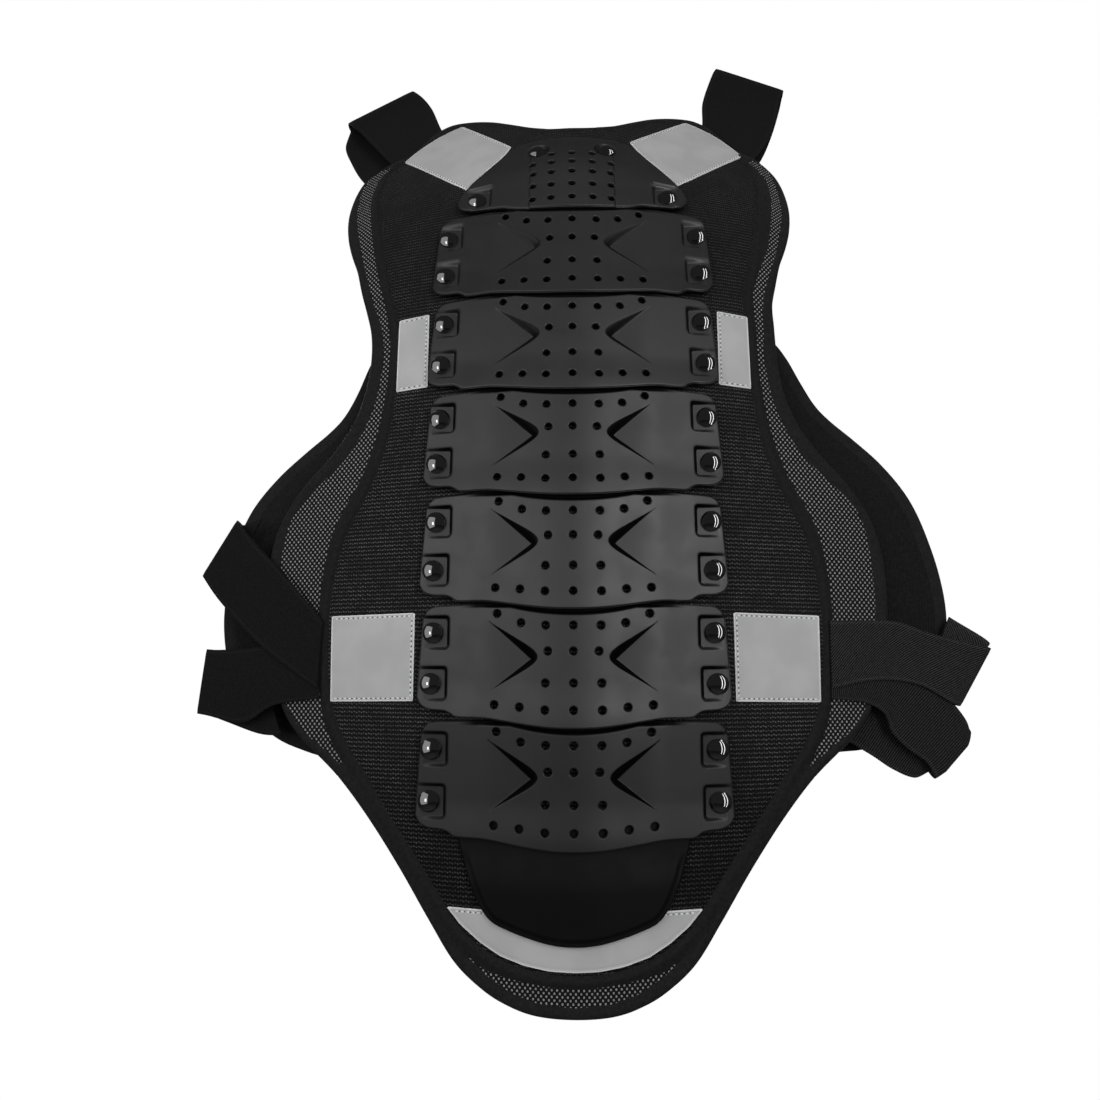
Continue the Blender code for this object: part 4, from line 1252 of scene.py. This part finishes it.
# ---------------------------------------------------------------- reflective patches and stitches
FILM_FRONT, FILM_BACK = 4.9, 5.7
# the width of the painted highlight along a patch's edge
FILM_HIGHLIGHT_BAND = 0.75
FILM_SEAM, STITCH_INSET = 1.6, 1.8  # in from the edge: the pressed seam and its stitches
SEAM_DEEP = 0.22
STITCH_PITCH = 2.9
STITCHES = (  # kind, material, length, width, height, shift along the seam in pitches
    ("thread", PALE_THREAD, 1.9, 1.15, 0.26, 0.0),
    # the holes between the stitches are dark discs of painted shade
    ("hole", HOLE_SHADE, 1.0, 1.0, 0.16, 0.5),
)
STITCH_RINGS = ((1.0, -0.25), (0.86, 0.55), (0.45, 1.0))  # share of the size, share of the height


def stitches(name, line, mat, length, width, height, shift):
    """Short raised stitches along a flat line."""
    run = running(line)
    count = int(run[-1] / STITCH_PITCH)
    verts, faces = [], []
    angle = np.linspace(0, 2 * pi, 8, endpoint=False)
    for i in range(count - (shift > 0)):
        at = (i + 0.5 + shift) * run[-1] / count
        here, ahead = sample(line, run, np.array([at, at + 0.3]))
        way = unit(ahead - here)
        off = np.array([-way[1], way[0]])
        start = len(verts)
        for scale, lift in STITCH_RINGS:
            along = np.outer(np.cos(angle) * length / 2 * scale, way)
            ring = here + along + np.outer(np.sin(angle) * width / 2 * scale, off)
            w = FILM_FRONT + SEAM_DEEP - height * lift
            verts.extend(drape(ring[:, 0], w, ring[:, 1]).tolist())
        for base in (start, start + 8):
            for j in range(8):
                after = (j + 1) % 8
                faces.append([base + j, base + after, base + 8 + after, base + 8 + j])
        faces.append([start + 16 + j for j in range(8)])
        faces.append([start + j for j in range(8)][::-1])
    return mesh_of(name, np.array(verts), faces, (mat,))


def patch(place, outline, body, sewn):
    """A piece of film on the panel, stitched along the sewn lines."""
    name, loop = f"patch_{place}", cornered(outline, 1.5, 0.6)
    insets = (0.15, 0.4, FILM_HIGHLIGHT_BAND, *(FILM_SEAM + gap for gap in (-0.5, 0, 0.5, 1.4)))
    loose = [offset(loop, inset) for inset in insets]
    points, tris = triangulate(loop, (), (), loose, 2.6, 0.5)
    gap = distance(points, loop)
    front = FILM_FRONT + 0.3 * fillet(gap / 0.4, 1.0) + SEAM_DEEP * bell(gap - FILM_SEAM, 0.5)
    back = np.full(len(points), FILM_BACK)
    # the band along the edge, and the rim, carry the painted highlight
    zones = (distance(points[tris].mean(1), loop) < FILM_HIGHLIGHT_BAND).astype(int)
    mesh = shell(name, points, tris, front, back, drape, (FILM, FILM_EDGE_HIGHLIGHT), zones, rim_zone=1)[0]
    mount(link(name, mesh), body, f"reflective_{place}")
    for k, line in enumerate(sewn):
        for kind, *sizes in STITCHES:
            row_name = f"{name}_{kind}_{k + 1}"
            mount(link(row_name, stitches(row_name, line, *sizes)), body)


def seam_lines(points, sides):
    """Lines set in from the numbered sides of a polygon."""
    p = np.array(points, float)
    lines = []
    for i in sides:
        start, end = p[i], p[(i + 1) % len(p)]
        way = (end - start) / np.linalg.norm(end - start)
        off = np.array([-way[1], way[0]]) * turning(p) * STITCH_INSET
        trim = way * STITCH_INSET
        lines.append(even([start + trim + off, end - trim + off], 1.0))
    return lines


def patches():
    for name, side in SIDES:
        for place, half, body, sewn_sides in (
            ("upper", PATCH_UPPER[name], "neck_segment", (5, 10)),
            ("middle", PATCH_MIDDLE, "segment_3", (0, 2, 3)),
            ("lower", PATCH_LOWER, "segment_6", (0, 2, 3)),
        ):
            points = flip(half, side)
            patch(f"{place}_{name}", points, body, seam_lines(points, sewn_sides))
    corners = [even([(side * 66.5, -240), (side * 48, -240)], 1.0) for side in (1, -1)]
    patch("bottom", mirrored(PATCH_BOTTOM_HALF), "tail_segment", corners)


# ---------------------------------------------------------------- kidney wings
WING_DEPTH, WING_BOW, WING_MIDDLE = 18.2, 0.0008, -39.0
WING_FRONT, WING_BACK = 0.25, 2.25
WING_HEM = 8.0


def wing_place(u, w, s):
    return drape(u, w + (WING_DEPTH + WING_BOW * (s - WING_MIDDLE) ** 2), s)


def wings():
    for name, side in SIDES:
        edge = smooth(wing_edge(side), 2.0)
        loop = np.concatenate([edge, even(WING_INNER, 2.0) * np.array([side, 1])])
        loose = [offset(loop, inset) for inset in (0.2, 0.6, 1.2, 2.0, 7.2, 8.0, 8.8)]
        points, tris = triangulate(loop, (), (), loose, 3.0, 0.5)
        gap = distance(points, edge, False)
        zones = np.where(distance(points[tris].mean(1), edge, False) < WING_HEM, 1, 0)
        swell, stitched = hump(gap, WING_HEM, 0.7), bell(gap - WING_HEM, 0.9)
        round_off = 0.9 * fillet(distance(points, loop), 1.0)  # leaves a thin wall at the rim
        wave = np.sin(points[:, 1] / 23.0 + 1.2 * side)
        sag = 0.5 * wave * ramp(125, 165, np.abs(points[:, 0]))
        front = WING_FRONT - 0.7 * swell + 0.45 * stitched + round_off + sag
        back = WING_BACK + 0.6 * swell - 0.35 * stitched - round_off + sag
        mesh = shell(
            f"wing_{name}", points, tris, front, back, wing_place, (WING, TAPE), zones, rim_zone=1
        )[0]
        obj = link(f"wing_{name}", mesh)
        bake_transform(obj)
        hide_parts(f"kidney_wing_{name}")


# ---------------------------------------------------------------- straps
WEBBING = 1.2  # thickness
STRAP_ACROSS = 14  # faces across a strap
FOLD_TURNS = 12

# A row is the (u, s) points of a line across the strap, then its depth w. Each strap runs along
# its front rows, folds over along the fold line, and comes back along its back rows.
WAIST_STRAPS = (  # place, side, front rows, fold, back rows, fold radius, material
    (
        "upper", "left",
        (
            ((-151, -118), (-149, -78), 3.0), ((-167, -107.5), (-158, -67), 2.4),
            ((-190, -90.5), (-178, -45), 1.8), ((-220, -61), (-200, -22.5), 2.6),
        ),
        ((-232, -45.5), (-211, -9.5)),
        (((-222, -55), (-196, -8.5), 9.4),),
        3.0, PLAIN_WEB,
    ),
    (
        "lower", "left",
        (
            ((-150, -124), (-150, -94), 4.5), ((-180, -129), (-189, -93), 4.5),
            ((-199, -139.5), (-203, -94), 6.4), ((-225, -136), (-220, -94.5), 7.4),
        ),
        ((-232.5, -135), (-228, -94)),
        (
            ((-212, -141), (-218, -96), 13.6), ((-190, -147.5), (-210, -97.5), 13.6),
            ((-177, -148), (-196, -99), 14.2),
        ),
        3.0, PLAIN_WEB,
    ),
    (
        "upper", "right",
        (
            ((149.5, -118), (150, -77.5), 3.2), ((169, -114), (170, -77), 2.8),
            ((186, -113), (192, -77.5), 3.2), ((207, -117), (213, -84), 4.6),
            ((227, -128), (242, -90.5), 5.6),
        ),
        ((232, -129.5), (255, -93.5)),
        (((229.5, -122), (257, -90.5), 12.0), ((215, -108), (231, -73), 12.6)),
        3.0, TWILL_WEB,
    ),
    (
        "lower", "right",
        (
            ((149.5, -124), (150, -98), 4.5), ((171, -126.8), (188, -100), 4.5),
            ((182.5, -133.5), (204, -107.5), 6.2), ((187, -144.5), (216, -117), 7.2),
            ((198, -155.5), (227.5, -127.5), 7.8), ((209, -163.5), (236, -139), 8.2),
        ),
        ((215, -173.5), (222, -169.5), (237.5, -154), (239.5, -147)),
        (
            ((204, -173.5), (228, -145), 15.4), ((190, -168), (213, -139), 15.8),
            ((178, -160), (199, -132), 16.0), ((160, -149), (181, -121), 16.4),
        ),
        3.6, RIB_WEB,
    ),
)
# |u|, s of both shoulder straps' ends inside the panel, and of the lines where they leave it
SHOULDER_SEWN = ((120, 287), (112, 291.5), (105, 303), (98, 315), (90, 322))
SHOULDER_ROOT = ((131, 297), (123, 301), (115, 313.5), (107, 327), (98, 335))
SHOULDERS = {  # front rows beyond the root, fold, back rows
    "left": (
        (
            ((-155, 334.5), (-111, 372.5), 4.0), ((-167, 353), (-120, 389), 0.0),
            ((-175, 363), (-126, 395), -3.0),
        ),
        ((-179, 370), (-130, 401)),
        (
            ((-180.5, 354), (-132.5, 384.5), 9.0), ((-173, 332.5), (-135.5, 354), 14.0),
            ((-158, 301), (-128, 321), 17.6), ((-142, 281), (-112, 302), 20.0),
        ),
    ),
    "right": (
        (
            ((155, 346.5), (102, 369.5), 4.5), ((165.8, 388), (108.8, 394), -2.0),
            ((170, 401), (114, 410), -5.5),
        ),
        ((172, 407), (118, 421)),
        (
            ((167, 388.5), (110.5, 400.5), 4.0), ((157, 356), (108, 368), 12.5),
            ((145, 323), (104, 343), 17.6), ((131, 294), (96, 319), 20.5),
        ),
    ),
}


def curve_rows(rows, step):
    """Rows of points (n, across, 3) filled in along a Catmull-Rom curve."""
    p = np.array(rows, float)
    knots = np.concatenate([[2 * p[0] - p[1]], p, [2 * p[-1] - p[-2]]])

    def length(start, end):
        return np.linalg.norm(end - start, axis=-1, keepdims=True)

    def between(first, last, from_t, to_t, t):
        return (to_t - t) / (to_t - from_t) * first + (t - from_t) / (to_t - from_t) * last

    out = []
    for a, b, c, d in zip(knots, knots[1:], knots[2:], knots[3:]):
        count = max(1, int(round(length(b, c).mean() / step)))
        # centripetal knots keep short steps beside long ones from overshooting
        gaps = [np.sqrt(np.maximum(length(*ends), 1e-3)) for ends in ((a, b), (b, c), (c, d))]
        t0, t1 = 0.0, gaps[0]
        t2 = t1 + gaps[1]
        t3 = t2 + gaps[2]
        for i in range(count):
            t = t1 + (t2 - t1) * i / count
            first, middle = between(a, b, t0, t1, t), between(b, c, t1, t2, t)
            last = between(c, d, t2, t3, t)
            first, last = between(first, middle, t0, t2, t), between(middle, last, t1, t3, t)
            out.append(between(first, last, t1, t2, t))
    out.append(knots[-2])
    return np.array(out)


def spread(line):
    """Points spread evenly along a line across the strap."""
    line = np.array(line, float)
    run = running(line)
    return sample(line, run, np.linspace(0, run[-1], STRAP_ACROSS + 1))


def strap_rows(front, fold, back, radius):
    """Rows of (u, w, s) along the whole strap."""

    def at_depth(points, w):
        return np.column_stack([points[:, 0], np.full(len(points), w), points[:, 1]])

    out = [at_depth(spread(line), w) for *line, w in front]
    *last, w = front[-1]
    crease = spread(fold)
    onward = unit(unit(crease - spread(last)).sum(0))
    for k in range(FOLD_TURNS + 1):
        turn = pi * k / FOLD_TURNS
        points = crease + onward * radius * (sin(turn) - 1)
        out.append(at_depth(points, w + radius * (1 - cos(turn))))
    return out + [at_depth(spread(line), w) for *line, w in back]


def strap_mesh(name, rows, width, web):
    """Webbing laid along the rows, thinner at its edges."""
    grid = curve_rows(rows, 1.6)
    count, across = grid.shape[:2]
    world = drape(grid[..., 0], grid[..., 1], grid[..., 2])
    normal = unit(np.cross(np.gradient(world, axis=0), np.gradient(world, axis=1)))
    if normal[0, across // 2, 1] > 0:
        normal = -normal
    edge = np.minimum(np.arange(across), np.arange(across)[::-1]) / (across - 1) * width
    thick = WEBBING / 2 * (0.55 + 0.45 * ramp(0, 1.6, edge)) + 0.08 * ramp(3.4, 1.4, edge)
    out = world + normal * (thick[None, :, None] * MM)
    under = world - normal * (thick[None, :, None] * MM)
    verts = np.concatenate([out.reshape(-1, 3), under.reshape(-1, 3)])

    face_normal = np.cross(out[1, 1] - out[0, 1], out[0, 2] - out[0, 1])
    forward = face_normal @ normal[0, 1] > 0
    index = np.arange(count * across).reshape(count, across).tolist()
    below = count * across
    faces = []
    for i in range(count - 1):
        for j in range(across - 1):
            top = [index[i][j], index[i + 1][j], index[i + 1][j + 1], index[i][j + 1]]
            if not forward:
                top.reverse()
            faces += [top, [x + below for x in top[::-1]]]
    loop = [row[0] for row in index] + index[-1][1:]
    loop += [row[-1] for row in index[-2::-1]] + index[0][-2:0:-1]
    for a, b in zip(loop, loop[1:] + loop[:1]):
        first, last = (b, a) if forward else (a, b)
        faces.append([first, last, last + below, first + below])

    run = np.cumsum(np.linalg.norm(np.diff(world[:, across // 2], axis=0), axis=1))
    run = np.concatenate([[0.0], run]) / MM
    corners = np.array(faces).ravel()
    marks = np.linspace(0, width, across)[corners % across], run[corners // across % count]
    mesh = mesh_of(name, verts, faces, (web,), uvs=np.stack(marks, 1) / 100)
    mesh.set_sharp_from_angle(angle=radians(48))
    return mesh


def hang(name, mesh, node):
    obj = link(name, mesh)
    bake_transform(obj)
    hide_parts(node)


def waist_straps():
    for place, side_name, front, fold, back, radius, web in WAIST_STRAPS:
        name = f"strap_{place}_{side_name}"
        mesh = strap_mesh(name, strap_rows(front, fold, back, radius), WAIST_WIDTH, web)
        hang(name, mesh, f"waist_{name}")


def shoulder_straps():
    for name, side in SIDES:
        inner, outer = drape(side * 98, 10, 335), drape(side * 131, 10, 297)
        way = unit(np.cross(inner - outer, [0.0, 1.0, 0.0]))
        if way[2] < 0:
            way = -way
        front, fold, back = SHOULDERS[name]
        sewn = (*flip(SHOULDER_SEWN, side), 10.4)
        root = (*flip(SHOULDER_ROOT, side), 10.0)
        rows = strap_rows((sewn, root, *front), fold, back, 3.0)
        mesh = strap_mesh(f"shoulder_{name}", rows, SHOULDER_WIDTH, SHOULDER_WEB)
        node = f"shoulder_strap_{name}"
        hang(f"shoulder_{name}", mesh, node)


# ---------------------------------------------------------------- stage, light and camera
def stage():
    mat = Material("stage_pale")
    mat.set((0.1, 0.1, 0.1, 1.0), rough=0.9)
    # lit enough to read as a white studio floor, without adding light to the object
    path = mat.tree.nodes.new("ShaderNodeLightPath")
    seen = mat.times(path.outputs["Is Camera Ray"], by=1.0)
    mat.put(mat.shader.inputs["Emission Strength"], seen)
    mat.put(mat.shader.inputs["Emission Color"], (1, 1, 1, 1))
    bpy.ops.mesh.primitive_plane_add(size=7, location=(0, 0, CAD_BOX[0].z - 1.2))
    floor = bpy.context.object
    floor.name = "stage_floor"
    floor.data.materials.append(mat.mat)


def softbox(name, azimuth, elevation, distance, size, glow):
    """A soft light aimed at the origin, at angles right of and above the -Y direction.

    Its power is the glow times its area, so its brightness doesn't depend on its size.
    """
    turn, rise = radians(azimuth), radians(elevation)
    aim = Vector((0, 0, 0.0))
    way = Vector((sin(turn) * cos(rise), -cos(turn) * cos(rise), sin(rise)))
    place = aim + distance * way
    data = bpy.data.lights.new(name, "AREA")
    data.shape = "RECTANGLE"
    data.size, data.size_y = size
    data.energy = glow * pi * size[0] * size[1]
    obj = link(name, data)
    obj.location = place
    obj.visible_camera = False
    obj.rotation_euler = (aim - place).to_track_quat("-Z", "Y").to_euler()
    return obj


def receivers(lamp, objects, state):
    """A lamp for the given objects alone, or for all the rest."""
    group = bpy.data.collections.new(lamp.name + "_receivers")
    for obj in objects:
        group.objects.link(obj)
    for entry in group.collection_objects:
        entry.light_linking.link_state = state
    lamp.light_linking.receiver_collection = group


BODY_LIGHTS = {  # light everything but the rivets
    "left": dict(azimuth=-38, elevation=5, distance=1.35, size=(1.35, 1.15), glow=1.55),
    "right": dict(azimuth=26, elevation=5, distance=1.35, size=(0.42, 1.15), glow=5.0),
    "top": dict(azimuth=0, elevation=64, distance=1.5, size=(1.2, 0.5), glow=0.5),
}
BACK_LIGHTS = {
    "left": dict(azimuth=-158, elevation=30, distance=1.5, size=(1.0, 1.0), glow=5.5),
    "right": dict(azimuth=160, elevation=8, distance=1.5, size=(0.8, 1.3), glow=2.0),
}
GLINTS = {  # light the rivets of one side only
    "left": (
        dict(azimuth=-47, elevation=3, distance=1.0, size=(1.25, 1.7), glow=0.9),
        dict(azimuth=-30, elevation=-9, distance=1.35, size=(0.30, 0.50), glow=5.0),
    ),
    "right": (
        dict(azimuth=39, elevation=5, distance=1.0, size=(0.08, 2.2), glow=7.0),
        dict(azimuth=62, elevation=5, distance=1.0, size=(0.11, 2.2), glow=5.0),
    ),
}


def studio_world():
    """A white studio to the eye, a dim one to matt surfaces, a dark one to shiny ones."""
    world = bpy.data.worlds.new("studio")
    bpy.context.scene.world = world
    world.use_nodes = True
    tree = world.node_tree
    path = tree.nodes.new("ShaderNodeLightPath")

    def choose(ray, otherwise, chosen):
        node = tree.nodes.new("ShaderNodeMapRange")
        tree.links.new(path.outputs[ray], node.inputs["Value"])
        for key, value in (("To Min", otherwise), ("To Max", chosen)):
            if isinstance(value, float):
                node.inputs[key].default_value = value
            else:
                tree.links.new(value, node.inputs[key])
        return node.outputs[0]

    dim = choose("Is Glossy Ray", otherwise=0.16, chosen=0.05)
    background = tree.nodes["Background"]
    background.inputs[0].default_value = (1, 1, 1, 1)
    strength = choose("Is Camera Ray", otherwise=dim, chosen=1.0)
    tree.links.new(strength, background.inputs[1])


def lights():
    studs = [obj for obj in bpy.data.objects if obj.name.startswith("stud_")]
    lamps = [softbox(f"softbox_{name}", **box) for name, box in BODY_LIGHTS.items()]
    for lamp in lamps:
        receivers(lamp, studs, "EXCLUDE")
    for name, box in BACK_LIGHTS.items():
        softbox(f"softbox_behind_{name}", **box)
    for name, side in SIDES:
        own = [obj for obj in studs if obj.location.x * side > 0]
        for k, box in enumerate(GLINTS[name]):
            receivers(softbox(f"glint_{name}_{k + 1}", **box), own, "INCLUDE")


def camera():
    cam = link("camera", bpy.data.cameras.new("camera"))
    cam.data.sensor_width = 36.0
    cam.data.lens = 27.818182
    cam.data.clip_start, cam.data.clip_end = 0.01, 20.0
    forward = Vector((-0.0288, 0.9697, 0.2425)).normalized()
    right = forward.cross(Vector((0, 0, 1))).normalized()
    up = right.cross(forward)
    roll = radians(0.2)
    right, up = right * cos(roll) + up * sin(roll), up * cos(roll) - right * sin(roll)
    place = Matrix.Translation((0.0008, -0.4608 - ORIGIN_Y * MM, -0.1557 - ORIGIN_Z * MM))
    cam.matrix_world = place @ Matrix((right, up, -forward)).transposed().to_4x4()
    bpy.context.scene.camera = cam


def view():
    settings = bpy.context.scene.view_settings
    settings.view_transform = "Standard"
    settings.look = "None"


for old in [obj for obj in bpy.data.objects if obj.name in ("Cube", "Light", "Camera")]:
    bpy.data.objects.remove(old, do_unlink=True)

spine_plates()
neck_plate()
tail_plate()
rivets()
panel()
patches()
wings()
waist_straps()
shoulder_straps()
stage()
studio_world()
lights()
view()
camera()
